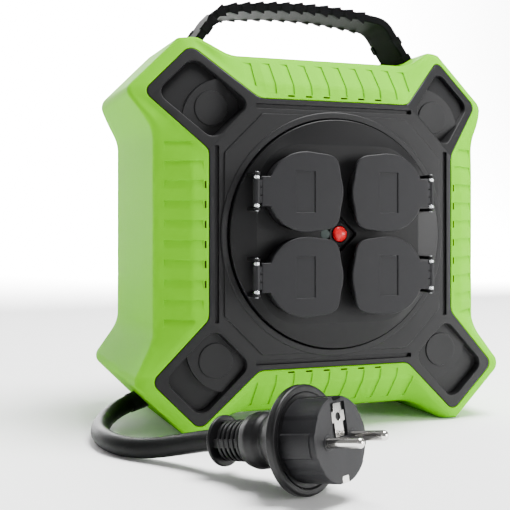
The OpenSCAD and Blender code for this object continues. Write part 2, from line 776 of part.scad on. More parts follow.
spring_wire = 0.25;
spring_r = 1.6;
spring_turns = 1.6;
module flap_springs() {
    steps = 13;
    pitch = (spring_len - 2 * spring_wire - 0.1) / spring_turns;
    color(steel) on_front() for (s = outlets) for (v = [-1, 1])
        translate([s.x * hinge_x, s.y * outlet_dz + v * (barrel_half + spring_len / 2 + ear_gap / 2),
                   hinge_h])
            tube([for (i = [0 : steps])
                let (a = 360 * spring_turns * i / steps)
                [spring_r * cos(a), (i / steps - 0.5) * spring_turns * pitch, spring_r * sin(a)]],
                spring_wire, 6, [0, 1, 0]);
}

module breaker_body() {
    color(dark) on_front() {
        translate([-11, -7, -24]) cube([22, 14, 22.9]);
        ring(button_stem_r + 0.1, breaker_r, -1.2, block_front - 3);
    }
}

module breaker_collar() {
    color(dark) on_front() difference() {
        rod(0, 0, block_front - 3 + fixed, block_front - 1, button_r + 2.2);
        rod(0, 0, block_front - 4, block_front, button_r + 0.4);
    }
}

module reset_button() {
    color("#D9383E") on_front() {
        rod(0, 0, 1, block_front - 0.9, button_stem_r);
        translate([0, 0, block_front - 0.9]) rotate_extrude() polygon(concat([[0, 0]],
            [for (a = [0 : 10 : 90]) [button_r * cos(a), 2.2 * sin(a)]]));
    }
}

module indicator_lens() {
    color("#9AA0A0") on_front() {
        rod(lens_x, 0, -0.9, block_front + 0.3, lens_r);
    }
}

// ---------- hinged covers ----------
// Cover coordinates: x towards the hinge, y up, z out; drawn for a cover on the right
module flap(s) {
    inner = outlet_dx - 2.8;
    shape = round_poly(rect_points(-inner, -flap_r, flap_r, flap_r),
                       [9, flap_r - 0.1, flap_r - 0.1, 9], 10);
    color(grey) on_front() at_outlet(s) scale_x(s.x) difference() {
        union() {
            slab(shape, flap_front - flap_t, flap_front);
            translate([10, -barrel_half, flap_front - flap_t])
                cube([hinge_reach - 10, 2 * barrel_half, flap_t]);
            translate([hinge_reach, barrel_half, hinge_h]) rotate([90, 0, 0])
                cylinder(h = 2 * barrel_half, r = barrel_r);
        }
        translate([-6.3, -12.2, flap_front - 0.5]) cube([12.6, 24.4, 2]);
        translate([hinge_reach, barrel_half + 1, hinge_h]) rotate([90, 0, 0])
            cylinder(h = 2 * barrel_half + 2, r = pin_hinge_r + run);
    }
}

module scale_x(sign) {
    if (sign < 0) mirror([1, 0, 0]) children();
    else children();
}

module seal(s) {
    color("#1F1F20") on_front() at_outlet(s)
        ring(outlet_r + 0.4, outlet_r + outlet_wall - 0.4, collar_top + eps, flap_front - flap_t - 0.02);
}

module flap_top_left() { flap(outlets[0]); }
module flap_top_right() { flap(outlets[1]); }
module flap_bottom_left() { flap(outlets[2]); }
module flap_bottom_right() { flap(outlets[3]); }
module seal_top_left() { seal(outlets[0]); }
module seal_top_right() { seal(outlets[1]); }
module seal_bottom_left() { seal(outlets[2]); }
module seal_bottom_right() { seal(outlets[3]); }

// ---------- drum ----------
module drum_front_flange() {
    z = -flange_front_y;
    color(black) on_drum() difference() {
        union() {
            ring(8, drum_r, z, z + flange_t);
            ring(hub_r - 2.6, hub_r - 0.2, z + 1, -front_y - hub_back - eps);
        }
        for (a = [-1, 1]) {
            rod(a * carrier_screw_x, 0, z - 1, z + 6, 1.6);
            rod(a * carrier_screw_x, 0, z - 1, z + 2.2, 3.2);
            rod(0, a * carrier_screw_z, z - 1, z + 6, 1.6);
            rod(0, a * carrier_screw_z, z - 1, z + 2.2, 3.2);
        }
    }
}

module carrier_screws() {
    z = -flange_front_y;
    color(steel) on_drum() for (p = [[carrier_screw_x, 0], [-carrier_screw_x, 0], [0, carrier_screw_z],
                                     [0, -carrier_screw_z]]) {
        rod(p.x, p.y, z + 0.1, z + 2.1, 3);
        rod(p.x, p.y, z + 2, z + 24, 1.45);
    }
}

module drum_core() {
    color(black) on_drum() difference() {
        ring(core_r - core_wall, core_r, -flange_rear_y + eps, -flange_front_y - eps);
        translate([0, core_r - 8, -20]) rotate([0, 90, 90]) cylinder(h = 12, r = cord_d / 2 + 0.5);
    }
}

module drum_rear_flange() {
    z = -flange_rear_y;
    color(black) on_drum() difference() {
        ring(8, rear_flange_r, z - rear_flange_t, z);
        for (p = disc_screw_places) rod(p.x, p.y, z - 6, z + 1, 1.5);
    }
}

function winding_points() =
    let (half = turns * turn_pitch / 2, last = turn_steps * turns,
         coil = [for (i = [0 : last]) let (a = 360 * i / turn_steps + 200)
             [outer_turn_r * cos(a), outer_turn_r * sin(a), -half + turn_pitch * i / turn_steps]],
         middle = -(flange_rear_y + flange_front_y) / 2,
         first_dir = unit(coil[0] - coil[1]), last_dir = unit(coil[last] - coil[last - 1]))
    [for (p = concat([coil[0] + first_dir * cord_d], coil, [coil[last] + last_dir * cord_d]))
        p + [0, 0, middle]];

// The least distance between two points of the winding that are more than half a turn apart
function least_apart(points) =
    min([for (i = [0 : len(points) - 1]) for (j = [i + turn_steps / 2 : 1 : len(points) - 1])
        norm(points[i] - points[j])]);

module cable_winding() {
    points = winding_points();
    echo(winding_turns = turns, least_gap = least_apart(points) - cord_d);
    color("#2A2A2B") on_drum() {
        ring(core_r + 0.2, inner_turns_r, -flange_rear_y + 0.6, -flange_front_y - 0.6);
        tube(points, cord_d / 2, 6, [0, 0, 1]);
    }
}

module terminal_block() {
    z = -flange_front_y;
    color("ivory") on_drum() difference() {
        translate([-19, 10, z - 15]) cube([38, 17, 15 - eps]);
        for (k = [-1 : 1]) rod(12 * k, 18.5, z - 16, z - 6, 3);
    }
}

module cord_clamp() {
    z = -flange_front_y;
    color(grey) on_drum() difference() {
        translate([-14, -30, z - 12]) cube([28, 10, 12 - eps]);
        translate([0, -19, z - 6]) rotate([90, 0, 0]) cylinder(h = 12, r = cord_d / 2);
        for (k = [-1, 1]) rod(10.5 * k, -25, z - 13, z, 1.6);
    }
}

// ---------- winding side ----------
disc_screw_places = [for (a = [45 : 90 : 315]) [30 * cos(a), 30 * sin(a)]];
knob_place = [0, -knob_reach];
module winding_disc() {
    color(black) on_rear() difference() {
        union() {
            collar_dish();
            rod(0, 0, -hub_floor - 1, -hub_floor + 5, 20);
            for (k = [0 : 7]) rotate([0, 0, 45 * k + 22.5])
                translate([-1.4, 12, -hub_floor - 1]) cube([2.8, hub_r - 13.5, 5]);
            rod(knob_place.x, knob_place.y, -hub_floor - 1, -hub_floor + 6, 10);
        }
        rod(knob_place.x, knob_place.y, -hub_back - 1, 0, 3 + 0.01);
        for (p = disc_screw_places) {
            rod(p.x, p.y, -hub_back - 1, 0, 1.6);
            rod(p.x, p.y, -hub_floor - 0.9, 0, 4);
        }
    }
}

module disc_screws() {
    color(steel) on_rear() for (p = disc_screw_places) difference() {
        union() {
            rod(p.x, p.y, -hub_back - 5, -hub_floor - 0.7, 1.45);
            rod(p.x, p.y, -hub_floor - 0.85, -hub_floor + 1.4, 3.2);
        }
        for (a = [0, 90]) translate([p.x, p.y, -hub_floor + 1.4]) rotate([0, 0, a])
            cube([3.6, 0.9, 1.8], center = true);
    }
}

knob_base = -hub_floor + 6.5;
module knob_axle() {
    color(steel) on_rear() {
        rod(knob_place.x, knob_place.y, -hub_back, knob_h - 4, 3);
        rod(knob_place.x, knob_place.y, knob_h - 4, knob_h - 2.4, 5);
    }
}

module winding_knob() {
    color(dark) on_rear() translate([knob_place.x, knob_place.y, 0]) difference() {
        rotate_extrude() polygon([[0, knob_base], [knob_r - 2.6, knob_base], [knob_r - 1.8, knob_base + 1],
            [knob_r - 2.6, knob_base + 8], [knob_r - 1, knob_h - 6], [knob_r, knob_h - 3],
            [knob_r - 0.6, knob_h - 1], [knob_r - 2, knob_h], [0, knob_h]]);
        rod(0, 0, knob_base - 1, knob_h, 3 + run);
        rod(0, 0, knob_h - 4.2, knob_h + 1, 5.4);
    }
}

front_shell();
rear_shell();
front_panel();
rear_panel();
front_screw_caps();
casing_screws();
carry_handle();
handle_anchor_pins();
front_bearing_ring();
rear_bearing_ring();
cable_outlet_bush();
free_cord();
plug_body();
plug_boot();
plug_face();
plug_pins();
plug_earth_contacts();
socket_carrier();
outlet_top_left();
outlet_top_right();
outlet_bottom_left();
outlet_bottom_right();
outlet_earth_clips();
outlet_contacts();
flap_hinge_pins();
flap_springs();
breaker_body();
breaker_collar();
indicator_lens();
drum_front_flange();
drum_core();
drum_rear_flange();
cable_winding();
terminal_block();
cord_clamp();
carrier_screws();
winding_disc();
disc_screws();
knob_axle();
flap_top_left();
flap_top_right();
flap_bottom_left();
flap_bottom_right();
seal_top_left();
seal_top_right();
seal_bottom_left();
seal_bottom_right();
reset_button();
winding_knob();
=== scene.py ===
"""Looks of an extension cord reel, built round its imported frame.

Lengths are in millimetres: X is to the right, the outlets face -Y and Z is up. Face coordinates are x to
the right, y up and z out of a panel's face, with 0 on the face and the drum's axis at x = y = 0.
"""
import math

import bmesh
import bpy
import numpy as np
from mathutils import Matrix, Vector
from mathutils.geometry import tessellate_polygon


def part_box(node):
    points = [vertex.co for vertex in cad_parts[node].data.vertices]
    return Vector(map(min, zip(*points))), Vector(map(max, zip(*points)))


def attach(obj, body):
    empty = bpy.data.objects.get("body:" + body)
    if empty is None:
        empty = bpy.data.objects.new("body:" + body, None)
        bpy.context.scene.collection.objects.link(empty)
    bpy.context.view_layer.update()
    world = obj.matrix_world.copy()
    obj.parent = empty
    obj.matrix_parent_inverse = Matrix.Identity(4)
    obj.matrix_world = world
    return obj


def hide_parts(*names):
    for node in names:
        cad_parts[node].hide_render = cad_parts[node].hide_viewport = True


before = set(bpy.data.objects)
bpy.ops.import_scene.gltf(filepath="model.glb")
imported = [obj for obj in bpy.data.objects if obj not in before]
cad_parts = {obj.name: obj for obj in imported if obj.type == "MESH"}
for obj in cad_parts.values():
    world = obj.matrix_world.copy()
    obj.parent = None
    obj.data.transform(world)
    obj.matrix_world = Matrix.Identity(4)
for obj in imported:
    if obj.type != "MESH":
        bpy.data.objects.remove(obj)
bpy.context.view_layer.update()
MM = 0.001

# ---------- sizes taken from the frame ----------
shell_low, shell_high = (np.array(corner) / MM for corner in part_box("front_shell"))
REACH = float(shell_high[2]) / 2
CENTRE_Z = REACH
FRONT = float(shell_low[1])
OUTLETS = {"top_left": (-1, 1), "top_right": (1, 1), "bottom_left": (-1, -1), "bottom_right": (1, -1)}

# ---------- casing ----------
# From the axis to a side: the drawn-in sides, the edge between slanted band and rim, and the black panel
WAIST = REACH - 11.2
RIM = WAIST - 19
PANEL_HALF = RIM - 9.5
# Where a side bends into a lug, as the distance from the side's middle; FOLD is where the lugs lean back
DIAGONAL = math.sqrt(2)
FLARE = 62
PANEL_FLARE = PANEL_HALF - 22.1 * DIAGONAL
FOLD = (PANEL_HALF + PANEL_FLARE) / DIAGONAL
# The lugs: their reach along the diagonal, half their width, and how steeply they lean back
LUG_HALF = 26.6
LUG_TIP = (REACH + 3.8) * DIAGONAL - LUG_HALF
PANEL_LUG_TIP = LUG_TIP - 8
PANEL_LUG_HALF = 20.6
LEAN_TOP = math.tan(math.radians(26.5))
LEAN_BOTTOM = math.tan(math.radians(5))
PANEL_GAP = 0.25
PANEL_T = 3.0
WALL = 3
# How far behind the panel's face the slanted band begins and ends
RIM_DROP = 2.6
BEVEL_DROP = 19

# ---------- hub ----------
OPENING_R = PANEL_HALF - 10.7
LIP_R = OPENING_R + 4.1
LIP_TOP = 1.5
HUB_R = OPENING_R - 0.7
OUTLET_X = 27.3
OUTLET_Y = 25.0
HINGE_X = OUTLET_X + 29.8
HUB_TOP = 6.0
RIM_TOP = 4.0
FACE_HALF = OPENING_R - 16.4
FACE_RADIUS = 28
HUB_BACK = -14.0
HUB_EDGE = 0.7
POST_FOOT = 3.5
OUTLET_HOLE_R = 22.4
# From the middle of the button's square recess to its corners
BUTTON_RECESS = 11.3
FLAP_FRONT = 17.3
# Hinges: a cover's barrel, and the gap on either side of it for a spring and the post behind
BARREL_R = 2.2
BARREL_HALF = 7.1
SPRING_GAP = 2.2
POST_HALF = 0.95
HINGE_H = FLAP_FRONT - BARREL_R


# ---------- points ----------
def unit(v):
    """A vector, or each row of several, at length 1."""
    return v / np.linalg.norm(v, axis=-1, keepdims=True)


def mix(a, b, t):
    return a + (b - a) * t


def round_corner(a, b, c, radius, steps):
    """The arc that rounds corner b between its neighbours a and c."""
    a, b, c = (np.array(p, float) for p in (a, b, c))
    u, v = unit(a - b), unit(c - b)
    half = math.acos(float(np.clip(u @ v, -1, 1))) / 2
    centre = b + unit(u + v) * radius / math.sin(half)
    p = b + u * radius / math.tan(half) - centre
    q = b + v * radius / math.tan(half) - centre
    sweep = math.pi - 2 * half
    t = np.linspace(0, 1, steps + 1)[:, None]
    return centre + (p * np.sin(sweep * (1 - t)) + q * np.sin(sweep * t)) / math.sin(sweep)


def rounded(points, radius, steps):
    """A closed outline whose corners are rounded."""
    count = len(points)
    return np.concatenate([round_corner(points[i - 1], points[i], points[(i + 1) % count], radius, steps)
                           for i in range(count)])


def rectangle(x0, y0, x1, y1):
    return [(x0, y0), (x1, y0), (x1, y1), (x0, y1)]


def circle(radius, x=0.0, y=0.0, count=96):
    turn = np.linspace(0, 2 * math.pi, count, endpoint=False)
    return np.stack([x + radius * np.cos(turn), y + radius * np.sin(turn)], 1)


def quarter_turn(points, turn):
    """Points in a face, turned to the left by quarters."""
    cosine, sine = [(1, 0), (0, 1), (-1, 0), (0, -1)][turn % 4]
    x, y = np.array(points, float).T
    return np.column_stack([x * cosine - y * sine, x * sine + y * cosine])


def inset(points, amount):
    """A closed outline, counter-clockwise, drawn in by an amount."""
    back = unit(points - np.roll(points, 1, 0))
    ahead = unit(np.roll(points, -1, 0) - points)
    side_a = np.stack([-back[:, 1], back[:, 0]], 1)
    side_b = np.stack([-ahead[:, 1], ahead[:, 0]], 1)
    middle = unit(side_a + side_b)
    return points + middle * (amount / np.maximum(0.5, (middle * side_a).sum(1)))[:, None]


def corner_curve(start, corner, end, steps):
    """A curve from start to end that leans towards a corner."""
    return [start * (1 - t) ** 2 + 2 * corner * t * (1 - t) + end * t * t
            for t in np.linspace(0, 1, steps + 1)]


def soften(points, reach):
    """An open line whose corners are rounded, each starting at most reach from the corner."""
    points = [np.array(p, float) for p in points]
    line = [points[0]]
    for a, b, c in zip(points, points[1:], points[2:]):
        cut = min(reach, 0.45 * np.linalg.norm(a - b), 0.45 * np.linalg.norm(c - b))
        line += corner_curve(b + unit(a - b) * cut, b, b + unit(c - b) * cut, 3)
    return line + [points[-1]]


def at_height(outline, z):
    return np.column_stack([outline, np.full(len(outline), z)])


def rounded_edge(outline, front, edge, steps):
    """Rings that round the front edge of a flat solid."""
    return [at_height(inset(outline, edge * (1 - math.cos(t))), front - edge * (1 - math.sin(t)))
            for t in np.linspace(0, math.pi / 2, steps + 1)]


# ---------- places ----------
def as_drawn(p):
    return p


def on_front(p):
    return p[0], FRONT - p[2], CENTRE_Z + p[1]


def on_rear(p):
    return p[0], -FRONT + p[2], CENTRE_Z + p[1]


def on_drum(p):
    """The drum's coordinates: z along the axis to the front, 0 in the casing's middle."""
    return p[0], -p[2], CENTRE_Z + p[1]


# ---------- meshes ----------
class Skin:
    """The points and faces of one piece."""

    def __init__(self):
        self.points = []
        self.faces = []
        self.finishes = []

    def loop(self, points):
        first = len(self.points)
        self.points.extend(tuple(map(float, p)) for p in points)
        return list(range(first, len(self.points)))

    def face(self, ids, finish=0):
        self.faces.append(tuple(ids))
        self.finishes.append(finish)

    def band(self, a, b, closed=True):
        """Faces between two loops with equally many points."""
        for i in range(len(a) if closed else len(a) - 1):
            j = (i + 1) % len(a)
            self.face((a[i], a[j], b[j], b[i]))

    def loft(self, rings):
        loops = [self.loop(ring) for ring in rings]
        for a, b in zip(loops, loops[1:]):
            self.band(a, b)
        return loops

    def bar(self, rings):
        """A loft with a face over each end."""
        loops = self.loft(rings)
        self.face(loops[0])
        self.face(loops[-1])

    def fill(self, outer, holes=()):
        """A flat face with holes."""
        rings = [outer, *holes]
        ids = [i for ring in rings for i in ring]
        for triangle in tessellate_polygon([[Vector(self.points[i]) for i in ring] for ring in rings]):
            self.face([ids[k] for k in triangle])

    def lathe(self, profile, centre=(0.0, 0.0), count=96, closed=False):
        """A turned shape; profile is (radius, z), and a radius of 0 ends it in a point."""
        loops = []
        for radius, z in profile:
            ring = circle(radius, *centre, count) if radius else [centre]
            loops.append(self.loop(at_height(ring, z)))
        for a, b in zip(loops, loops[1:] + (loops[:1] if closed else [])):
            if len(a) == 1 or len(b) == 1:
                tip, ring = (a, b) if len(a) == 1 else (b, a)
                for i in range(count):
                    self.face((tip[0], ring[i], ring[(i + 1) % count]))
            else:
                self.band(a, b)

    def box(self, low, high, move=as_drawn):
        """A box; move puts each of its corners in place."""
        base = rectangle(low[0], low[1], high[0], high[1])
        ids = self.loop([move((x, y, z)) for z in (low[2], high[2]) for x, y in base])
        self.band(ids[:4], ids[4:])
        self.face(ids[:4])
        self.face(ids[4:])


def piece(name, skin, finishes, body, slot, replaces, place=as_drawn, bevel=0.0, sharp=32):
    """Makes one visible piece of a skin, with even shading over flat faces and soft edges."""
    mesh = bpy.data.meshes.new(name)
    mesh.from_pydata([tuple(c * MM for c in place(p)) for p in skin.points], [], skin.faces)
    mesh.polygons.foreach_set("material_index", skin.finishes)
    for material in finishes:
        mesh.materials.append(material)
    shape = bmesh.new()
    shape.from_mesh(mesh)
    bmesh.ops.remove_doubles(shape, verts=shape.verts, dist=0.002 * MM)
    bmesh.ops.dissolve_degenerate(shape, edges=shape.edges, dist=0.001 * MM)
    bmesh.ops.recalc_face_normals(shape, faces=shape.faces)
    shape.to_mesh(mesh)
    shape.free()
    mesh.shade_smooth()
    mesh.set_sharp_from_angle(angle=math.radians(sharp))
    obj = bpy.data.objects.new(name, mesh)
    bpy.context.scene.collection.objects.link(obj)
    soften_edges(obj, bevel)
    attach(obj, body)
    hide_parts(*replaces)
    return obj


def soften_edges(obj, width):
    """Rounds an object's sharp edges, where it has a width for them, and shades its flat faces evenly."""
    if width:
        bevel = obj.modifiers.new("edges", "BEVEL")
        bevel.width = width * MM
        bevel.segments = 2
        bevel.limit_method = "ANGLE"
        bevel.angle_limit = math.radians(40)
    shading = obj.modifiers.new("shading", "WEIGHTED_NORMAL")
    shading.keep_sharp = True


# ---------- materials ----------
def colour(code):
    """An sRGB hex value as a linear colour."""
    channels = [int(code[i:i + 2], 16) / 255 for i in (1, 3, 5)]
    return tuple(c / 12.92 if c <= 0.04045 else ((c + 0.055) / 1.055) ** 2.4 for c in channels) + (1,)


def add_node(tree, kind, settings=None, **links):
    """A node of one kind with its settings, and what goes into its named inputs: a value or a link."""
    node = tree.nodes.new(kind)
    for key, value in (settings or {}).items():
        setattr(node, key, value)
    for key, value in links.items():
        socket = node.inputs[key.replace("_", " ")]
        if isinstance(value, bpy.types.NodeSocket):
            tree.links.new(value, socket)
        else:
            socket.default_value = value
    return node


def new_material(name, roughness, metallic=0.0, ior=1.5):
    """A material with its node tree and its shader."""
    material = bpy.data.materials.new(name)
    material.use_nodes = True
    shader = material.node_tree.nodes["Principled BSDF"]
    shader.inputs["Roughness"].default_value = roughness
    shader.inputs["Metallic"].default_value = metallic
    shader.inputs["IOR"].default_value = ior
    return material, material.node_tree, shader


def add_marks(tree, place, size, noise, gloss_range, depth):
    """Marks size mm across that vary the gloss and raise the surface by depth mm; noise is how much detail
    they have and how strong it is."""
    shader = tree.nodes["Principled BSDF"]
    marks = add_node(tree, "ShaderNodeTexNoise", Vector=place, Scale=1000 / size, Detail=noise[0],
                     Roughness=noise[1])
    gloss = add_node(tree, "ShaderNodeMapRange", Value=marks.outputs["Fac"], From_Min=0.3, From_Max=0.7,
                     To_Min=gloss_range[0], To_Max=gloss_range[1])
    tree.links.new(gloss.outputs["Result"], shader.inputs["Roughness"])
    relief = add_node(tree, "ShaderNodeBump", Height=marks.outputs["Fac"], Distance=depth * MM, Strength=1.0)
    tree.links.new(relief.outputs["Normal"], shader.inputs["Normal"])


def moulded(name, low, high, roughness, grain=0.6, depth=0.012, ior=1.46, coat=0.0, level=0.25):
    """Moulded plastic or rubber: the mould's grain, and a slow drift between two close colours from the
    melt's flow. A real mould's grain of about 0.1 mm is too fine to show, so it is drawn grain mm coarse."""
    material, tree, shader = new_material(name, roughness, ior=ior)
    shader.inputs["Coat Weight"].default_value = coat
    shader.inputs["Specular IOR Level"].default_value = level
    place = add_node(tree, "ShaderNodeTexCoord").outputs["Object"]
    flow = add_node(tree, "ShaderNodeTexNoise", Vector=place, Scale=1000 / FLOW_WIDTH, Detail=3.0,
                    Roughness=0.55)
    tone = add_node(tree, "ShaderNodeMix", {"data_type": "RGBA"})
    tree.links.new(flow.outputs["Fac"], tone.inputs["Factor"])
    tone.inputs[6].default_value = colour(low)
    tone.inputs[7].default_value = colour(high)
    tree.links.new(tone.outputs[2], shader.inputs["Base Color"])
    add_marks(tree, place, grain, (2.0, 0.6), (roughness - 0.05, roughness + 0.05), depth)
    return material


def metal(name, tint, roughness, scratch=0.25, depth=0.004):
    """Plated, drawn or stamped metal, with the default IOR. The real marks are hundredths of a millimetre
    wide and too fine to show, so they are drawn scratch mm across."""
    material, tree, shader = new_material(name, roughness, metallic=1.0)
    shader.inputs["Base Color"].default_value = colour(tint)
    place = add_node(tree, "ShaderNodeTexCoord").outputs["Object"]
    add_marks(tree, place, scratch, (4.0, 0.7), (roughness * 0.75, roughness * 1.25), depth)
    return material


# The melt's drift in colour, in mm across
FLOW_WIDTH = 60

# Fresh leaf green, satin, with almost no highlight
green_abs = moulded("green ABS, satin moulded", "#60AE00", "#67B402", 0.5, grain=0.8, level=0.008)
# Even dull black with a fine grain that breaks up the light
black_pp = moulded("black polypropylene, spark eroded grain", "#0F0F10", "#111112", 0.5, depth=0.02)
# The panel's black, a little smoother
cap_pp = moulded("black polypropylene cap, fine grain", "#0F0F10", "#111112", 0.5, grain=0.5)
# Flat black with almost no highlight, so that the ribs show by their shade
handle_pp = moulded("black polypropylene handle", "#0F0F10", "#121213", 0.6, grain=0.9, depth=0.02,
                    level=0.012)
# Deep black with a soft sheen on its rim
hub_pa = moulded("black polyamide hub", "#0B0B0C", "#0D0D0E", 0.42, depth=0.01, level=0.2)
# Plain satin black
outlet_pa = moulded("black polyamide outlet", "#0E0E0F", "#101011", 0.5, grain=0.5)
# A shade greyer than the hub, so that the covers stand out from it
cover_pp = moulded("dark grey polypropylene cover", "#141416", "#161618", 0.5, grain=0.5, depth=0.014,
                   level=0.2)
# Dull, coarse and slightly grey black
drum_pp = moulded("black polypropylene drum", "#121213", "#151516", 0.55, grain=0.9, depth=0.02)
# Black with a soft highlight where it is rounded
knob_pp = moulded("black polypropylene knob", "#101011", "#131314", 0.45)
# Deep black, smooth enough for long highlights along its curves
plug_pvc = moulded("black PVC plug, moulded", "#0B0B0C", "#0D0D0E", 0.4, grain=0.7)
# Duller and slightly greyer than the plug's body
plug_insert = moulded("dark grey polyamide plug insert", "#161618", "#18181A", 0.48, grain=0.5, depth=0.01)
# Black with a faint roughness and a narrow dim highlight along the cord
cord_rubber = moulded("black rubber cord sheath, extruded", "#0D0E0E", "#101111", 0.45, grain=1.2,
                      depth=0.03, level=0.1)
# Very dull black, with a wide faint highlight
soft_rubber = moulded("black TPE, moulded soft", "#0D0D0E", "#0F0F10", 0.6)
# Warm white with a mild gloss
acetal = moulded("natural acetal, turned", "#DDD9CC", "#E6E2D6", 0.35, depth=0.005)
# Smoky grey with sharp highlights
lens_pc = moulded("grey polycarbonate lens", "#2C3432", "#36403D", 0.2, grain=1.0, depth=0.003, ior=1.58)
# Bright red, glossy, with a small highlight on its dome
button_abs = moulded("red ABS button, polished mould", "#C4121C", "#CE1620", 0.28, grain=1.0, depth=0.003,
                     coat=0.1)
# Cool light grey with blurred reflections
zinc = metal("zinc plated steel", "#C0C3C6", 0.32)
# Bright wire with thin sharp highlights
spring_steel = metal("bright spring steel, drawn", "#D8DADC", 0.18)
# Warm silver, nearly a mirror
nickel = metal("nickel plated brass, bright", "#D2D0CC", 0.16, scratch=0.4, depth=0.002)
# Soft gold with slightly blurred reflections
brass = metal("stamped brass", "#C8A14B", 0.28)

# ---------- camera and cord ----------
CAMERA_PLACE = (-244.0, -598.7, 127.2)
CAMERA_YAW = 20.0
# The view's side and how far the view is moved down, in pixels
VIEW_SIDE = 510
VIEW_DROP = 32
camera_data = bpy.data.cameras.new("camera")
camera_data.sensor_width = 36
camera_data.lens = 66.67
camera_data.shift_y = -VIEW_DROP / VIEW_SIDE
camera_data.clip_end = 30
camera = bpy.data.objects.new("camera", camera_data)
camera.location = [c * MM for c in CAMERA_PLACE]
camera.rotation_euler = (math.radians(90), 0, math.radians(-CAMERA_YAW))
bpy.context.scene.collection.objects.link(camera)
bpy.context.scene.camera = camera

CORD_D = 11.0
CORD_ROUTE = [(-114, -7, 12.6), (-123, -14, 10.5), (-130.5, -23.5, 8.5), (-136, -34.5, 6.9),
              (-139.7, -46.5, 6), (-141.4, -59, 5.6), (-141, -71, 5.6), (-138.5, -82.5, 5.6),
              (-134, -92.5, 5.7), (-127.5, -101.5, 6.4), (-120.4, -109.6, 8), (-113.8, -118, 10.4),
              (-107.3, -127.2, 13.2), (-101.5, -136.7, 15.9), (-96.3, -146.2, 17.6)]
BUSH_ROOT = (-104, -2, 14.6)
BUSH_DIR = unit(np.array(BUSH_ROOT) - np.array(CORD_ROUTE[0]))


def free_lead():
    """The free lead, one smooth curve through the route's points."""
    data = bpy.data.curves.new("free_lead", "CURVE")
    data.dimensions = "3D"
    data.bevel_depth = CORD_D / 2 * MM
    data.bevel_resolution = 10
    data.resolution_u = 12
    data.use_fill_caps = True
    line = data.splines.new("BEZIER")
    line.bezier_points.add(len(CORD_ROUTE) - 1)
    for knot, p in zip(line.bezier_points, CORD_ROUTE):
        knot.co = [c * MM for c in p]
        knot.handle_left_type = knot.handle_right_type = "AUTO"
    data.materials.append(cord_rubber)
    lead = bpy.data.objects.new("free_lead", data)
    bpy.context.scene.collection.objects.link(lead)
    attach(lead, "casing")
    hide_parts("free_cord")
    return lead


lead = free_lead()


# ---------- green shells ----------
RIB_PITCH = 11.65
RIB_LINES = [8.45 + RIB_PITCH * k for k in range(-5, 5)]
RIB_DEPTH = 0.8
RIB_RAMP = 5.8
RIB_STEP = 0.12
SLOT_CENTRES = [RIB_PITCH * (k + 0.5) for k in range(-3, 3)]
SLOT_HALF = 2.1
SLOT_DEPTH = 1.6
# Where rows lie, as shares of the way out across the slanted band and across the rim: the ribs run from the
# band's second row to the rim's first, and the slots lie between the rim's fourth and fifth
BAND_ROWS = (0.886, 0.878, 0.6, 0.3)
RIM_ROWS = (0.375, 0.36, 0.26, 0.25, 0.108, 0.1)
# How far a side's ribs and columns reach from its middle, and how finely the lugs' corners are rounded
FLANK = 57.0
ROOT_STEPS = 8
TIP_STEPS = 10
# How far behind the panel's face the ledge that carries it lies, and how far back its inner edge reaches
LEDGE_DEPTH = 3.6
LEDGE_BACK = 5.8


def side_columns():
    """Where the points lie along a side, so that every rib and slot has its own edges."""
    places = {-FLANK, FLANK}
    for line in RIB_LINES:
        places |= {line, line - RIB_STEP, line - RIB_RAMP}
    for centre in SLOT_CENTRES:
        places |= {centre + side * (SLOT_HALF + extra) for side in (-1, 1) for extra in (0, 0.06)}
    places |= {side * place for side in (-1, 1) for place in range(45, 57, 2)}
    kept = []
    for place in sorted(places):
        if not kept or place - kept[-1] > 0.03:
            kept.append(place)
    return np.array(kept)


def corner_points(side, flare, tip, half, r_root, r_tip):
    """From the middle of a side to the middle of a lug's end, as x, z and how much of a lug it is."""
    middle, root = (0, side), (flare, side)
    corner, end = ((tip - half) / DIAGONAL, (tip + half) / DIAGONAL), (tip / DIAGONAL, tip / DIAGONAL)
    first = round_corner(middle, root, corner, r_root, ROOT_STEPS)
    second = round_corner(root, corner, end, r_tip, TIP_STEPS)
    line = np.concatenate([[middle], first, second, [end]])
    share = np.concatenate([[0], np.linspace(0, 0.28, ROOT_STEPS + 1), np.linspace(0.86, 1, TIP_STEPS + 1),
                            [1]])
    return np.column_stack([line, share])


def outline(columns, *corner):
    """A closed outline of the casing as x, z and lug share, clockwise from the left of the top side. Its
    corners are made by corner_points."""
    line = corner_points(*corner)
    arc = line[-TIP_STEPS - 2:-1]
    flank = np.linspace(FLANK, arc[0, 0], 12)[1:-1]
    lug = np.concatenate([np.column_stack([np.interp(flank, line[:, 0], line[:, k]) for k in range(3)]), arc,
                          [mix(arc[-1], line[-1], t) for t in (0.34, 0.67)]])
    points = []
    for quarter in range(4):
        own = columns if quarter in (0, 3) else -columns[::-1]
        row = np.column_stack([own] + [np.interp(np.abs(own), line[:, 0], line[:, k]) for k in (1, 2)])
        row = np.concatenate([lug[::-1] * (-1, 1, 1), row, lug, [line[-1]]])
        points.append(np.column_stack([quarter_turn(row[:, :2], -quarter), row[:, 2]]))
    return np.concatenate(points)


def past_fold(points):
    """How far past the fold of its lug each point lies, outwards along the lug."""
    return (np.abs(points[:, 0]) + np.abs(points[:, 1])) / DIAGONAL - FOLD


def flat_ring(points, height, reach=REACH):
    """Face coordinates of an outline at one height, cut flat above and below."""
    return at_height(np.column_stack([points[:, 0], np.clip(points[:, 1], -reach, reach)]), height)


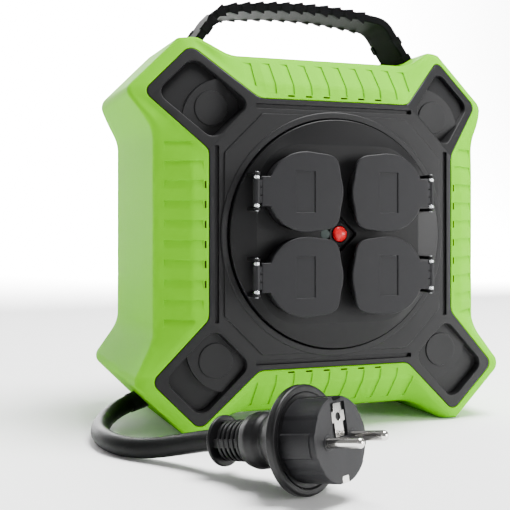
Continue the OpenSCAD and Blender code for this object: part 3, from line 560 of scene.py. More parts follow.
def ring(points, depth_side, depth_lug, whole_lean=True, reach=REACH):
    """Face coordinates of an outline at its depths behind the panel face, cut flat above and below."""
    placed = flat_ring(points, 0.0, reach)
    share = points[:, 2]
    lean = np.maximum(0, past_fold(placed)) * np.where(placed[:, 1] > 0, LEAN_TOP, LEAN_BOTTOM)
    if whole_lean:
        placed[:, 2] = -mix(depth_side, depth_lug, share) - lean
    else:
        placed[:, 2] = -mix(depth_side, depth_lug + lean, share)
    return placed


def panel_outline(columns, grow):
    return outline(columns, PANEL_HALF + grow, PANEL_FLARE + grow * 0.4, PANEL_LUG_TIP + grow,
                   PANEL_LUG_HALF + grow, 8, max(2, 5.5 + grow))


def bend(before, at, after, reach, steps):
    """Rings that round the casing's edge at one ring, between the rings before and after it."""
    to_a, to_b = before - at, after - at
    length_a, length_b = (np.linalg.norm(v, axis=1) for v in (to_a, to_b))
    cut = np.minimum(reach, 0.45 * np.minimum(length_a, length_b))
    start, end = at + to_a * (cut / length_a)[:, None], at + to_b * (cut / length_b)[:, None]
    return corner_curve(start, at, end, steps)


def rib_depth(along, lines):
    """How deep the shingles are cut at places along a side: a step at each line, and a ramp up from it."""
    depth = np.zeros(len(along))
    for line in lines:
        gap = line - along
        inside = (gap > RIB_STEP - 0.01) & (gap < RIB_RAMP)
        depth = np.where(inside, RIB_DEPTH * (1 - (gap - RIB_STEP) / (RIB_RAMP - RIB_STEP)), depth)
    return depth


def shell_skin():
    """One half of the green casing: smooth sides, a slanted band with shingle ribs, a rim with slots, and
    the ledge that the black panel lies on. The slots' walls and floors are painted black as the shade inside
    them."""
    columns = side_columns()
    outer = outline(columns, WAIST, FLARE, LUG_TIP, LUG_HALF, 22, 7)
    middle = flat_ring(outer, FRONT)
    edge = ring(outer, BEVEL_DROP, 4, False)
    crease = ring(outline(columns, RIM, PANEL_FLARE + 3.5, LUG_TIP - 4.2, LUG_HALF - 3.4, 10, 6.5),
                  RIM_DROP, 1.0)
    inner_edge = ring(panel_outline(columns, PANEL_GAP), 0, 0)
    gap_floor = ring(panel_outline(columns, PANEL_GAP), LEDGE_DEPTH, LEDGE_DEPTH)
    ledge = [ring(panel_outline(columns, PANEL_GAP - 2.2), depth, depth)
             for depth in (LEDGE_DEPTH, LEDGE_BACK)]
    inner = [ring(outline(columns, RIM - 1.6, PANEL_FLARE + 3, LUG_TIP - 5.6, LUG_HALF - 4.8, 10, 5.5),
                  6.6, LEDGE_BACK)]
    inside = outline(columns, WAIST - WALL, FLARE, LUG_TIP - WALL, LUG_HALF - WALL, 24, 5)
    inner.append(ring(inside, BEVEL_DROP + WALL - 0.4, 9, False, REACH - WALL))
    inner.append(flat_ring(inside, FRONT, REACH - WALL))

    edge_rings = bend(middle, edge, crease, 4.5, 6)
    crease_rings = bend(edge, crease, inner_edge, 2.2, 4)
    lip_rings = bend(crease, inner_edge, gap_floor, 0.9, 3)
    bevel_rows = [mix(crease_rings[0], edge_rings[-1], t) for t in BAND_ROWS]
    rim_rows = [mix(lip_rings[0], crease_rings[-1], t) for t in RIM_ROWS]
    rows = [middle, mix(middle, edge, 0.5), *edge_rings, *bevel_rows, *crease_rings, *rim_rows, *lip_rings,
            gap_floor, *ledge, *inner]
    first_rib = 2 + len(edge_rings) + 1
    first_rim = first_rib + 3 + len(crease_rings)

    count = len(columns)
    quarter = len(outer) // 4
    lead_in = (quarter - count - 1) // 2
    along = np.full(len(outer), 1e3)
    for k in range(4):
        start = k * quarter + lead_in
        along[start:start + count] = columns if k in (0, 3) else columns[::-1]
    deep = rib_depth(along, RIB_LINES)
    short = rib_depth(along, RIB_LINES[1:-1])
    cut = np.zeros(len(outer), bool)
    for centre in SLOT_CENTRES:
        cut |= np.abs(along - centre) < SLOT_HALF + 0.03
    shaped = [r.copy() for r in rows]
    for k in range(first_rib, first_rim + 1):
        across = np.roll(rows[k], -1, 0) - np.roll(rows[k], 1, 0)
        normal = unit(np.cross(across, rows[k + 1] - rows[k - 1]))
        normal *= np.sign(normal[:, 2])[:, None]
        shaped[k] = rows[k] - normal * (deep if k < first_rim - 1 else short)[:, None]
    for k in (first_rim + 3, first_rim + 4):
        shaped[k][cut, 2] -= SLOT_DEPTH
    skin = Skin()
    loops = [skin.loop(row) for row in shaped]
    for k, (a, b) in enumerate(zip(loops, loops[1:])):
        for i in range(len(a)):
            j = (i + 1) % len(a)
            # A slot's walls and floor take the second finish, black: painted shade for the dark inside of
            # the slot
            dark = first_rim + 2 <= k <= first_rim + 4 and (cut[i] and cut[j])
            skin.face((a[i], a[j], b[j], b[i]), 1 if dark else 0)
    skin.band(loops[-1], loops[0])
    return skin


# The casing's green, and the black that paints shade into the rim's slots
green = [green_abs, black_pp]
piece("green_front_shell", shell_skin(), green, "casing", "green_shell", ["front_shell"], on_front, sharp=40)
piece("green_rear_shell", shell_skin(), green, "casing", "green_shell", ["rear_shell"], on_rear, sharp=40)


# ---------- black panels ----------
# A lug's pocket along the diagonal and the round seat in it, with depths for upper (1) and lower (-1) lugs
POCKET_HALF = 14.3
POCKET_START = 95.3
POCKET_END = 133.8
SEAT_R = 26.0
SEAT_CENTRE = 94.0
SEAT_DEPTH = {1: 14.0, -1: 4.6}
TIP_DEPTH = {1: 3.6, -1: 5.0}
CAP_R = 10.5
CAP_T = 1.3
CAP_PLACE = {1: (75.5, 75.3), -1: (75.6, 74.3)}
WELL_R = 4.3
# The raised corner plates
PLATE_HALF = 72.0
PLATE_FLARE = 48.0
PLATE_FRONT = 0.9
# The grooves beside the four sides: where they lie, half their length, and how deep they and their pits are
GROOVE_PLACE = 76.3
GROOVE_HALF = 52.2
GROOVE_DEPTH = 1.8
PIT_DEPTH = 6.0
# How much wider than its walls a pocket is at its mouth, and how deep that lies
POCKET_MOUTH = ((2.2, 0), (1.95, 0.1), (1.75, 0.35), (1.55, 1.0), (1.3, 2.3))


def with_fold(rings):
    """Adds a point to each outline wherever the first one crosses the fold of a lug."""
    along = past_fold(rings[0])
    ahead = np.roll(along, -1)
    folded = []
    for points in rings:
        rows = []
        for i, (p, q) in enumerate(zip(points, np.roll(points, -1, 0))):
            rows.append(p)
            if along[i] * ahead[i] < 0:
                rows.append(mix(p, q, along[i] / (along[i] - ahead[i])))
        folded.append(np.array(rows))
    return folded


def lug_place(sx, sz, across, along):
    """Face x and y of a point in a lug, given across the lug and outwards along it."""
    return sx * (along + across) / DIAGONAL, sz * (along - across) / DIAGONAL


def pocket_outline(grow):
    """A lug's pocket as across and along, from one end of the seat's curve to the other and round."""
    half, start, end, radius = POCKET_HALF + grow, POCKET_START - grow, POCKET_END + grow, SEAT_R + grow
    meet = SEAT_CENTRE + math.sqrt(radius ** 2 - half ** 2)
    inner = [(half, meet), *round_corner((half, meet), (half, start), (-half, start), 5 + grow, 6),
             *round_corner((half, start), (-half, start), (-half, meet), 5 + grow, 6), (-half, meet)]
    tip = [*round_corner((-half, meet), (-half, end), (half, end), 5 + grow, 6),
           *round_corner((-half, end), (half, end), (half, meet), 5 + grow, 6)]
    swing = math.acos(half / radius)
    turn = np.linspace(swing, math.pi - swing, 25)
    curve = [(radius * math.cos(t), SEAT_CENTRE + radius * math.sin(t)) for t in turn]
    return inner, tip, curve


def cap_place(sx, sz):
    """Face x and y of a lug's cap and of the hole behind it."""
    x, y = CAP_PLACE[sz]
    return sx * x, sz * y


def lug_surface(sz, along):
    """How far behind the panel's face a lug's surface lies, at a distance out along the lug."""
    return max(0.0, along - FOLD) * (LEAN_TOP if sz > 0 else LEAN_BOTTOM)


def pocket(skin, sx, sz, grow, extra, well=None):
    """The walls and floors of a lug's pocket. Returns the loop of its mouth and, with a well, its hole."""
    inner, tip, curve = pocket_outline(grow + 1.2)
    seat_depth, tip_depth = SEAT_DEPTH[sz] + extra, TIP_DEPTH[sz] + extra

    def level(points, drop, flat=None):
        placed = []
        for across, along in points:
            x, y = lug_place(sx, sz, across, along)
            depth = lug_surface(sz, along) + drop if flat is None else flat
            placed.append((x, y, -depth))
        return placed

    loops = []
    for wider, drop in POCKET_MOUTH:
        wide = pocket_outline(grow + wider)
        loops.append(skin.loop(level(wide[0] + wide[1], drop + extra)))
    count = len(inner)
    floor_inner = skin.loop(level(inner, 0, seat_depth))
    floor_tip = skin.loop(level([inner[-1]] + tip + [inner[0]], tip_depth))
    for a, b in zip(loops, loops[1:]):
        skin.band(a, b)
    top = loops[-1]
    skin.band(top[:count], floor_inner, closed=False)
    skin.band(top[count - 1:] + [top[0]], floor_tip, closed=False)
    seat_curve = skin.loop(level(curve, 0, seat_depth))
    tip_curve = skin.loop(level(curve, tip_depth))
    skin.band(seat_curve, tip_curve, closed=False)
    hole = []
    if well:
        hole = [skin.loop(at_height(circle(well, *cap_place(sx, sz), 48), -seat_depth))]
    skin.fill(floor_inner + seat_curve[::-1][1:-1], hole)
    skin.fill(floor_tip + tip_curve[1:-1])
    return loops[0], hole[0] if hole else None


def panel_groove(skin, turn):
    """A long groove beside one side. The upper and the lower one each have a pit at one end. Returns the
    loop of its mouth."""
    spots = rounded(rectangle(-GROOVE_HALF, GROOVE_PLACE - 1.5, GROOVE_HALF, GROOVE_PLACE + 1.5), 0.7, 3)
    spots = quarter_turn(spots, turn)
    cut = skin.loft([at_height(spots, 0), at_height(inset(spots, 0.15), -0.15),
                     at_height(inset(spots, 0.2), -GROOVE_DEPTH)])
    pit = []
    if turn in (0, 2):
        end = GROOVE_HALF - 2.6 if turn == 0 else 0.4 - GROOVE_HALF
        spots = quarter_turn(rectangle(end, GROOVE_PLACE - 1.1, end + 2.2, GROOVE_PLACE + 1.1), turn)
        pit = skin.loft([at_height(spots, -GROOVE_DEPTH), at_height(spots, -PIT_DEPTH)])
        skin.fill(pit[-1])
    skin.fill(cut[-1], pit[:1])
    return cut[0]


def panel_skin(well):
    """A black panel: a flat middle with its opening and grooves, four leaning lugs with their pockets, a
    raised corner plate in each corner and the rolled lip. A well is the radius of a hole in each pocket."""
    skin = Skin()
    columns = np.concatenate([-np.arange(57, 43, -2.0), np.linspace(-40, 40, 15), np.arange(45, 58, 2.0)])
    edge = ((-0.7, 0), (-0.2, 0.2), (0, 0.7), (0, 2.7), (-0.3, PANEL_T))
    outlines = with_fold([panel_outline(columns, grow) for grow, _ in edge])
    loops = skin.loft([ring(points, depth, depth) for points, (_, depth) in zip(outlines, edge)])
    front, back = loops[0], loops[-1]
    opening = skin.loft([at_height(circle(OPENING_R + 2, count=128), z) for z in (0, -PANEL_T)])
    grooves = [panel_groove(skin, turn) for turn in range(4)]
    along = past_fold(outlines[0])
    flat = [i for i in range(len(along)) if along[i] < 1e-6]
    skin.fill([front[i] for i in flat], [opening[0], *grooves])
    skin.fill([back[i] for i in flat], [opening[-1]])
    count = len(along)
    starts = [i for i in range(count) if along[i] > 1e-6 and along[i - 1] < 1e-6]
    for start in starts:
        run = [(start - 1) % count]
        i = start
        while along[i] > 1e-6:
            run.append(i)
            i = (i + 1) % count
        run.append(i)
        x, y = outlines[0][run[len(run) // 2], :2]
        sx, sz = int(np.sign(x)), int(np.sign(y))
        mouth, hole = pocket(skin, sx, sz, 0, 0, well)
        skin.fill([front[i] for i in run], [mouth])
        mouth, back_hole = pocket(skin, sx, sz, 0.6, PANEL_T, well)
        skin.fill([back[i] for i in run], [mouth])
        if well:
            skin.band(hole, back_hole)
    for turn in range(4):
        plate = corner_plate(turn)
        loops = skin.loft([at_height(inset(plate, 0.1), -1.0), at_height(plate, -0.9),
                           *rounded_edge(plate, PLATE_FRONT, 0.7, 3)])
        skin.fill(loops[0])
        skin.fill(loops[-1])
    lip = soften([(LIP_R, -2.9), (LIP_R, LIP_TOP - 0.4), (LIP_R - 0.6, LIP_TOP), (OPENING_R + 0.5, LIP_TOP),
                  (OPENING_R, LIP_TOP - 0.5), (OPENING_R, -2.9)], 0.4)
    skin.lathe(lip, count=160, closed=True)
    return skin


def corner_plate(turn):
    """The outline of one raised corner plate between the lip and two sides, counter-clockwise."""
    radius = LIP_R - 0.6
    start = math.acos(PLATE_HALF / radius)
    arc = [(radius * math.cos(t), radius * math.sin(t)) for t in
           np.linspace(math.pi / 2 - start, start, 24)]
    corners = [(PLATE_HALF, PLATE_FLARE), (PLATE_FLARE, PLATE_HALF)]
    ends = [(PLATE_HALF, arc[-1][1]), (arc[0][0], PLATE_HALF)]
    rounds = [*round_corner(ends[0], corners[0], corners[1], 3, 4),
              *round_corner(corners[0], corners[1], ends[1], 3, 4)]
    return quarter_turn([*arc, *rounds], turn)


piece("black_front_panel", panel_skin(None), [black_pp], "casing", "black_panel", ["front_panel"], on_front,
      sharp=24)
piece("black_rear_panel", panel_skin(WELL_R), [black_pp], "casing", "black_panel", ["rear_panel"], on_rear,
      sharp=24)


def cap_skin():
    """The round caps on the seats in the lugs, each with a fine groove near its edge."""
    skin = Skin()
    for sx, sz in OUTLETS.values():
        low = -SEAT_DEPTH[sz] - 0.6
        high = low + CAP_T
        skin.lathe([(0, low), (CAP_R, low), (CAP_R, high - 0.5), (CAP_R - 0.15, high - 0.15),
                    (CAP_R - 0.5, high), (CAP_R - 1.5, high - 0.12), (0, high - 0.12)], cap_place(sx, sz))
    return skin


piece("lug_caps", cap_skin(), [cap_pp], "casing", "cap_plastic", ["front_screw_caps"], on_front)


# ---------- hub ----------
def polar(points, angles):
    """The radius of a closed outline round the origin at given angles."""
    turn = np.arctan2(points[:, 1], points[:, 0])
    order = np.argsort(turn)
    return np.interp(angles, turn[order], np.hypot(points[:, 0], points[:, 1])[order], period=2 * math.pi)


def fine(points):
    """A closed outline with more points, less than a millimetre apart."""
    rows = []
    for a, b in zip(points, np.roll(points, -1, 0)):
        count = max(1, int(2 * np.linalg.norm(b - a)))
        rows.extend(mix(a, b, k / count) for k in range(count))
    return np.array(rows)


def hub_skin():
    """The turning hub: a round disc whose front rises gently from its rim to a flat rounded square, with the
    holes for the four outlets, the square recess of the reset button and the posts of the cover hinges."""
    skin = Skin()
    count = 256
    turn = np.linspace(-math.pi, math.pi, count, endpoint=False)
    around = np.column_stack([np.cos(turn), np.sin(turn)])
    rings = [at_height(around * HUB_R, HUB_BACK)]
    for t in np.linspace(0, math.pi / 2, 5):
        height = RIM_TOP - HUB_EDGE * (1 - math.sin(t))
        rings.append(at_height(around * (HUB_R - HUB_EDGE * (1 - math.cos(t))), height))
    square = fine(rounded(rectangle(-FACE_HALF, -FACE_HALF, FACE_HALF, FACE_HALF), FACE_RADIUS, 24))
    square = polar(square, turn)
    for t in (0.03, 0.25, 0.5, 0.75, 0.97, 1.0):
        rings.append(at_height(around * mix(HUB_R - HUB_EDGE, square, t)[:, None], mix(RIM_TOP, HUB_TOP, t)))
    rings.append(at_height(around * (square - 0.5)[:, None], HUB_TOP))
    loops = skin.loft(rings)
    fronts, backs = [], []
    for sx, sy in OUTLETS.values():
        hole = circle(OUTLET_HOLE_R, sx * OUTLET_X, sy * OUTLET_Y)
        cut = skin.loft([at_height(inset(hole, -0.4), HUB_TOP), at_height(hole, HUB_TOP - 0.4),
                         at_height(hole, HUB_BACK)])
        fronts.append(cut[0])
        backs.append(cut[-1])
    diamond = [(BUTTON_RECESS, 0), (0, BUTTON_RECESS), (-BUTTON_RECESS, 0), (0, -BUTTON_RECESS)]
    diamond = rounded(diamond, 1.5, 4)
    cut = skin.loft([at_height(inset(diamond, -0.3), HUB_TOP), at_height(diamond, HUB_TOP - 0.3),
                     at_height(inset(diamond, 0.3), HUB_TOP - 3)])
    fronts.append(cut[0])
    skin.fill(cut[-1])
    skin.fill(loops[-1], fronts)
    skin.fill(loops[0], backs)
    for sx, sy in OUTLETS.values():
        for side in (-1, 1):
            hinge_post(skin, sx * HINGE_X, sy * OUTLET_Y + side * (BARREL_HALF + SPRING_GAP + POST_HALF))
    return skin


def hinge_post(skin, x, y):
    """A post with a round top that holds one end of a hinge pin."""
    arc = [(BARREL_R * math.cos(t), HINGE_H + BARREL_R * math.sin(t)) for t in np.linspace(0, math.pi, 13)]
    post = np.array([(-BARREL_R, POST_FOOT), (BARREL_R, POST_FOOT), *arc])
    rings = []
    for shift, shrink in ((-POST_HALF, 0.25), (-0.7, 0), (0.7, 0), (POST_HALF, 0.25)):
        rings.append([(x + across, y + shift, z) for across, z in inset(post, shrink)])
    ends = skin.loft(rings)
    skin.fill(ends[0])
    skin.fill(ends[-1])


piece("hub_face", hub_skin(), [hub_pa], "drum", "hub_plastic", ["socket_carrier"], on_front, sharp=30)


# ---------- covers ----------
FLAP_T = 3.0
FLAP_R = 23.6
FLAP_SQUARE = 22.7
NECK_HALF = 8.75
NECK_END = HINGE_X - OUTLET_X - BARREL_R - 0.25


def cover_outline():
    """A cover seen from the front, hinge to the right: a disc grown together with a rounded square on its
    inner side, which leaves a soft wave where the two meet."""
    turn = np.linspace(0, 2 * math.pi, 180, endpoint=False)
    cosine, sine = np.cos(turn), np.sin(turn)
    disc = FLAP_R + 0.9 * np.clip(-cosine, 0, 1) ** 2
    power = 5.0
    square = FLAP_SQUARE / (np.abs(cosine) ** power + np.abs(sine) ** power) ** (1 / power)
    square = np.where(cosine > 0, 0.9 * square, square)
    sharpness = 40.0
    radius = (disc ** sharpness + square ** sharpness) ** (1 / sharpness)
    radius = np.where(cosine > 0.05, disc, radius)
    points = np.column_stack([radius * cosine, radius * sine])
    kept = [p for p in points if not (p[0] > 0 and abs(p[1]) < NECK_HALF + 1.2)]
    start = next(i for i, p in enumerate(kept) if p[1] > 0 and p[0] > 0)
    neck_x = math.sqrt(FLAP_R ** 2 - NECK_HALF ** 2)
    neck = [(neck_x, -NECK_HALF), (NECK_END, -NECK_HALF), (NECK_END, NECK_HALF), (neck_x, NECK_HALF)]
    return np.array(kept[start:] + kept[:start] + neck)


def cover_skin(sx, sy):
    """A cover with its bare recessed field, its hinge barrel and the three bars that join the two."""
    skin = Skin()
    shape = cover_outline()
    back, front = FLAP_FRONT - FLAP_T, FLAP_FRONT
    loops = skin.loft([at_height(inset(shape, 0.8), back), at_height(inset(shape, 0.3), back + 0.3),
                       *rounded_edge(shape, front, 0.9, 4)])
    field = rounded(rectangle(-6.3, -12.25, 6.3, 12.25), 0.4, 3)
    recess = skin.loft([at_height(field, front), at_height(inset(field, 0.12), front - 0.12),
                        at_height(inset(field, 0.2), front - 0.6)])
    skin.fill(recess[-1])
    skin.fill(loops[-1], [recess[0]])
    skin.fill(loops[0])
    reach = HINGE_X - OUTLET_X
    chamfer, bore = 0.25, 1.07
    barrel = Skin()
    barrel.lathe([(BARREL_R - chamfer, -BARREL_HALF), (BARREL_R, chamfer - BARREL_HALF),
                  (BARREL_R, BARREL_HALF - chamfer), (BARREL_R - chamfer, BARREL_HALF),
                  (bore, BARREL_HALF), (bore, -BARREL_HALF)], count=32, closed=True)
    first = len(skin.points)
    skin.points.extend((reach + x, z, HINGE_H + y) for x, y, z in barrel.points)
    for ids in barrel.faces:
        skin.face([first + i for i in ids])
    for low, high in ((-6.6, -2.6), (-2.0, 2.0), (2.6, 6.6)):
        skin.box((NECK_END - 0.6, low, back + 0.2), (reach - 1.3, high, front - 0.3))
    skin.points = [(sx * (OUTLET_X + x), sy * OUTLET_Y + y, z) for x, y, z in skin.points]
    return skin


for spot, (sx, sy) in OUTLETS.items():
    piece("cover_" + spot, cover_skin(sx, sy), [cover_pp], "cover_" + spot, "cover_plastic",
          ["flap_" + spot], on_front, sharp=30)


def spring_skin():
    """Closing springs: close turns of bright wire between each cover's barrel and its posts."""
    skin = Skin()
    wire, radius, turns, steps = 0.36, 1.75, 2.4, 44
    length = SPRING_GAP - 2 * wire - 0.26
    for sx, sy in OUTLETS.values():
        for side in (-1, 1):
            middle = sy * OUTLET_Y + side * (BARREL_HALF + SPRING_GAP / 2)
            rings = []
            for k in range(steps + 1):
                angle = 2 * math.pi * turns * k / steps
                out = np.array([math.cos(angle), 0, math.sin(angle)])
                centre = radius * out + (sx * HINGE_X, middle + length * (k / steps - 0.5), HINGE_H)
                rings.append([centre + wire * (math.cos(t) * out + math.sin(t) * np.array([0, 1, 0]))
                              for t in np.linspace(0, 2 * math.pi, 8, endpoint=False)])
            skin.bar(rings)
    return skin


piece("closing_springs", spring_skin(), [spring_steel], "drum", "spring_steel", ["flap_springs"], on_front,
      sharp=60)


# ---------- reset button ----------
def button_skin():
    """The reset button: a stem and a low domed head."""
    skin = Skin()
    radius, base, height = 4.7, HUB_TOP - 0.9, 2.6
    stem_r, stem_low = 3.0, 1.0
    dome = [(radius * math.cos(t), base + height * math.sin(t)) for t in np.linspace(0.12, math.pi / 2, 10)]
    dome[-1] = (0, base + height)
    stem = [(0, stem_low), (stem_r, stem_low), (stem_r, base), (radius - 0.2, base)]
    skin.lathe(stem + dome, count=64)
    return skin


piece("red_button", button_skin(), [button_abs], "button", "button_red", ["reset_button"], on_front,
      sharp=50)


# ---------- handle ----------
HANDLE_W = 33.0
HANDLE_T = 5.2
HANDLE_Y = -9.5
HANDLE_TOP = REACH + 30.3 - HANDLE_T / 2
HANDLE_PITCH = 9.1
RIB_SKEW = HANDLE_PITCH / HANDLE_W
# How far the ribs hang below the band at its front and its rear edge
RIB_HANG = {-1: 2.0, 1: 1.0}
# The plain bars on each leg: how far from the handle's middle they lie, and how wide they are
LEG_BARS = ((74, 6), (88, 7))


def handle_line():
    """The band's centre line from its left end to its right end, as x, z, finely divided."""
    arch = [(x, HANDLE_TOP - x * x / 680) for x in np.linspace(0, REACH - 75.5, 16)]
    knee, foot = (REACH - 61.3, HANDLE_TOP - 5.1), (REACH - 36.5, REACH - 14)
    right = np.concatenate([arch, round_corner(arch[-1], knee, foot, 14, 10), [foot]])
    return np.concatenate([right[::-1] * (-1, 1), right[1:]])


HANDLE_LINE = handle_line()
HANDLE_RUN = np.concatenate([[0], np.cumsum(np.linalg.norm(np.diff(HANDLE_LINE, axis=0), axis=1))])
HANDLE_RUN -= HANDLE_RUN[-1] / 2


def at_run(run):
    """The point of the handle's centre line at a distance along it from its middle."""
    return np.array([np.interp(run, HANDLE_RUN, HANDLE_LINE[:, k]) for k in (0, 1)])


def on_handle(run, y, out):
    """A point on the handle: run along its line from the middle, y front to back, out from its middle."""
    ahead = unit(at_run(run + 1.5) - at_run(run - 1.5))
    p = at_run(run) + out * np.array([-ahead[1], ahead[0]])
    return p[0], HANDLE_Y + y, CENTRE_Z + p[1]


def across_handle(skin, run, section, edges):
    """A part of a rib: its section, drawn along the band, carried across the band from edge to edge."""
    skin.bar([[on_handle(run + u + y * RIB_SKEW, y, out) for u, out in section] for y in edges])


def handle_rib(skin, run, half, thick):
    """A rib with a saw-tooth top, a slow rise from the left and a short drop on the right. It wraps round
    both edges of the band and hangs below them, deepest on its right."""
    tooth = [(-6.4, thick - 0.7), (-6.4, thick - 0.1), (-0.6, thick + 1.1), (-0.1, thick + 0.9),
             (0.2, thick - 0.7)]
    across_handle(skin, run, tooth, (0.2 - half, half - 0.2))
    for side, hang in RIB_HANG.items():
        hook = [(-6.2, thick - 0.9), (-6.2, 0.4 - thick), (-5.4, -thick - 0.1), (-0.9, -thick - hang),
                (-0.3, 0.2 - thick - hang), (-0.1, thick - 0.9)]
        across_handle(skin, run, hook, (side * half, side * (half - 4.2)))


def leg_bar(skin, run, width, edge, inner, reach):
    """A plain bar that wraps round one edge of the band, a little narrower on the outside."""
    def place(corner):
        end, y, out = corner
        return on_handle(run + end * (width / 2 - (0.3 if out > 0 else 0)), y, out)

    skin.box((-1, edge, -reach), (1, inner, reach), place)


def handle_skin():
    """The carrying handle: a band with skewed saw-tooth ribs and two pairs of bars on each leg."""
    skin = Skin()
    half, thick = HANDLE_W / 2, HANDLE_T / 2
    section = rounded(rectangle(0.5 - half, -thick, half - 0.5, thick), 0.9, 3)
    runs = np.concatenate([np.arange(HANDLE_RUN[0], HANDLE_RUN[-1], 2.0), [HANDLE_RUN[-1]]])
    skin.bar([[on_handle(run, y, out) for y, out in section] for run in runs])
    for k in range(-6, 7):
        handle_rib(skin, HANDLE_PITCH * k - 6.35, half, thick)
    for side in (-1, 1):
        for run, width in LEG_BARS:
            for edge in (-1, 1):
                leg_bar(skin, side * run, width, edge * half, edge * (half - 4.5), thick + 0.7)
    return skin


piece("ribbed_handle", handle_skin(), [handle_pp], "casing", "handle_plastic", ["carry_handle"], bevel=0.3,
      sharp=35)


# ---------- plug ----------
PLUG_YAW = math.radians(-61.1)
PLUG_TILT = math.radians(9)
PLUG_TAIL = 53.0
BOOT_END = -33.0
FLANGE_FRONT = 2.0
PLUG_FACE_R = 19.7
PLUG_FACE_END = FLANGE_FRONT + 19
PIN_R = 2.4
PIN_L = 19.0
PIN_PLACE = 9.5
PLUG_DIR = np.array([math.cos(PLUG_YAW) * math.cos(PLUG_TILT), math.sin(PLUG_YAW) * math.cos(PLUG_TILT),
                     math.sin(PLUG_TILT)])
PLUG_SIDE = np.array([-math.sin(PLUG_YAW), math.cos(PLUG_YAW), 0])
PLUG_DOWN = np.cross(PLUG_SIDE, PLUG_DIR)
PLUG_PLACE = np.array(CORD_ROUTE[-1]) + PLUG_TAIL * PLUG_DIR


def on_plug(p):
    """Plug coordinates: x down, y to the side, z along it towards its pins, 0 on the flange."""
    return tuple(PLUG_PLACE + p[0] * PLUG_DOWN + p[1] * PLUG_SIDE + p[2] * PLUG_DIR)


def plug_body_skin():
    """The moulded body: a bulged collar, a neck and the round flange with its shallow dish."""
    skin = Skin()
    dish = FLANGE_FRONT - 0.7
    profile = soften([(0.01, BOOT_END), (10.2, BOOT_END), (12.6, -31.6), (13.9, -27), (13.4, -22.2),
                      (11.6, -19.4), (12.4, -17.6), (14.6, -14.5), (18.6, -8), (21.2, -4.2), (21.6, -3),
                      (24.7, -3), (25.7, -2.2), (25.7, FLANGE_FRONT - 0.8), (24.9, FLANGE_FRONT),
                      (22.4, FLANGE_FRONT), (21.8, dish), (0.01, dish)], 1.0)
    profile[0], profile[-1] = (0, BOOT_END), (0, dish)
    skin.lathe(profile, count=128)
    return skin


def plug_boot_skin():
    """The strain relief: rings joined by four bars round a slim core, and a round end disc."""
    skin = Skin()
    low, high = 0.1 - PLUG_TAIL, BOOT_END - 0.05
    skin.lathe([(0, low), (7.0, low), (7.0, high), (0, high)], count=48)
    disc = [(6.0, 0), (12.0, 0), (12.7, 0.6), (12.7, 1.7), (12.2, 2.2), (6.0, 2.2)]
    skin.lathe(soften([(radius, z - PLUG_TAIL) for radius, z in disc], 0.4), closed=True)
    for k in range(5):
        z = -35.6 - 3.15 * k
        radius = 10.5 - 0.12 * k
        band = soften([(6.5, z), (radius, z), (radius, z + 1.7), (6.5, z + 1.7)], 0.4)
        skin.lathe(band, closed=True)
    for turn in range(4):
        skin.box((-2.1, 5.5, 1.5 - PLUG_TAIL), (2.1, 9.7, BOOT_END - 0.2),
                 lambda p, turn=turn: (*quarter_turn([p[:2]], turn)[0], p[2]))
    return skin


def plug_face_skin():
    """The front part that enters a socket: a cylinder with raised bands at its sides, a bevelled front with
    two pin collars, the slot of the upper earth contact and the window of the lower one."""
    skin = Skin()
    radius, end = PLUG_FACE_R, PLUG_FACE_END
    turn = np.linspace(0, 2 * math.pi, 144, endpoint=False)
    cosine, sine = np.cos(turn), np.sin(turn)
    side, level = np.abs(sine) * radius, np.abs(cosine) * radius
    band_half, ledge_half = 5.5, 12.5
    r = np.select([level < band_half, level < ledge_half], [radius + 0.55, radius - 0.5], radius)
    window = (level > radius - 2) & (side < 3.2)
    r = np.where(window & (cosine > 0), radius - 3.0, r)
    r = np.where(window & (cosine < 0), radius - 2.2, r)

    def section(shrink, z, limit=radius + 1):
        reach = np.minimum(r, limit) - shrink
        return at_height(np.column_stack([cosine * reach, sine * reach]), z)

    loops = skin.loft([section(0, FLANGE_FRONT - 0.6), section(0, end - 3.2), section(0, end - 3.0, radius),
                       section(0, end - 0.8, radius), section(0.25, end - 0.25, radius),
                       section(0.8, end, radius)])
    plate = rounded(rectangle(-16.9, -5.5, -1.0, 5.5), 0.5, 2)
    recess = skin.loft([at_height(plate, end), at_height(plate, end - 1.3)])
    skin.fill(recess[-1])
    skin.fill(loops[-1], [recess[0]])
    skin.fill(loops[0])
    collar = soften([(2.45, end - 2), (3.6, end - 2), (3.6, end + 0.25), (2.45, end + 0.25)], 0.15)
    for place in (-PIN_PLACE, PIN_PLACE):
        skin.lathe(collar, (0, place), count=40, closed=True)
    return skin


def pins_skin():
    """Two round pins with rounded noses and slimmer roots."""
    skin = Skin()
    root_r, root, tip, nose_l = 2.0, 2.2, PLUG_FACE_END + PIN_L, 2.0
    nose = [(PIN_R * math.cos(t), tip - nose_l * (1 - math.sin(t))) for t in np.linspace(0, math.pi / 2, 8)]
    nose[-1] = (0, tip)
    shank = [(0, root), (root_r, root), (root_r, PLUG_FACE_END), (PIN_R, PLUG_FACE_END + 0.2)]
    for place in (-PIN_PLACE, PIN_PLACE):
        skin.lathe(shank + nose, (0, place), count=40)
    return skin


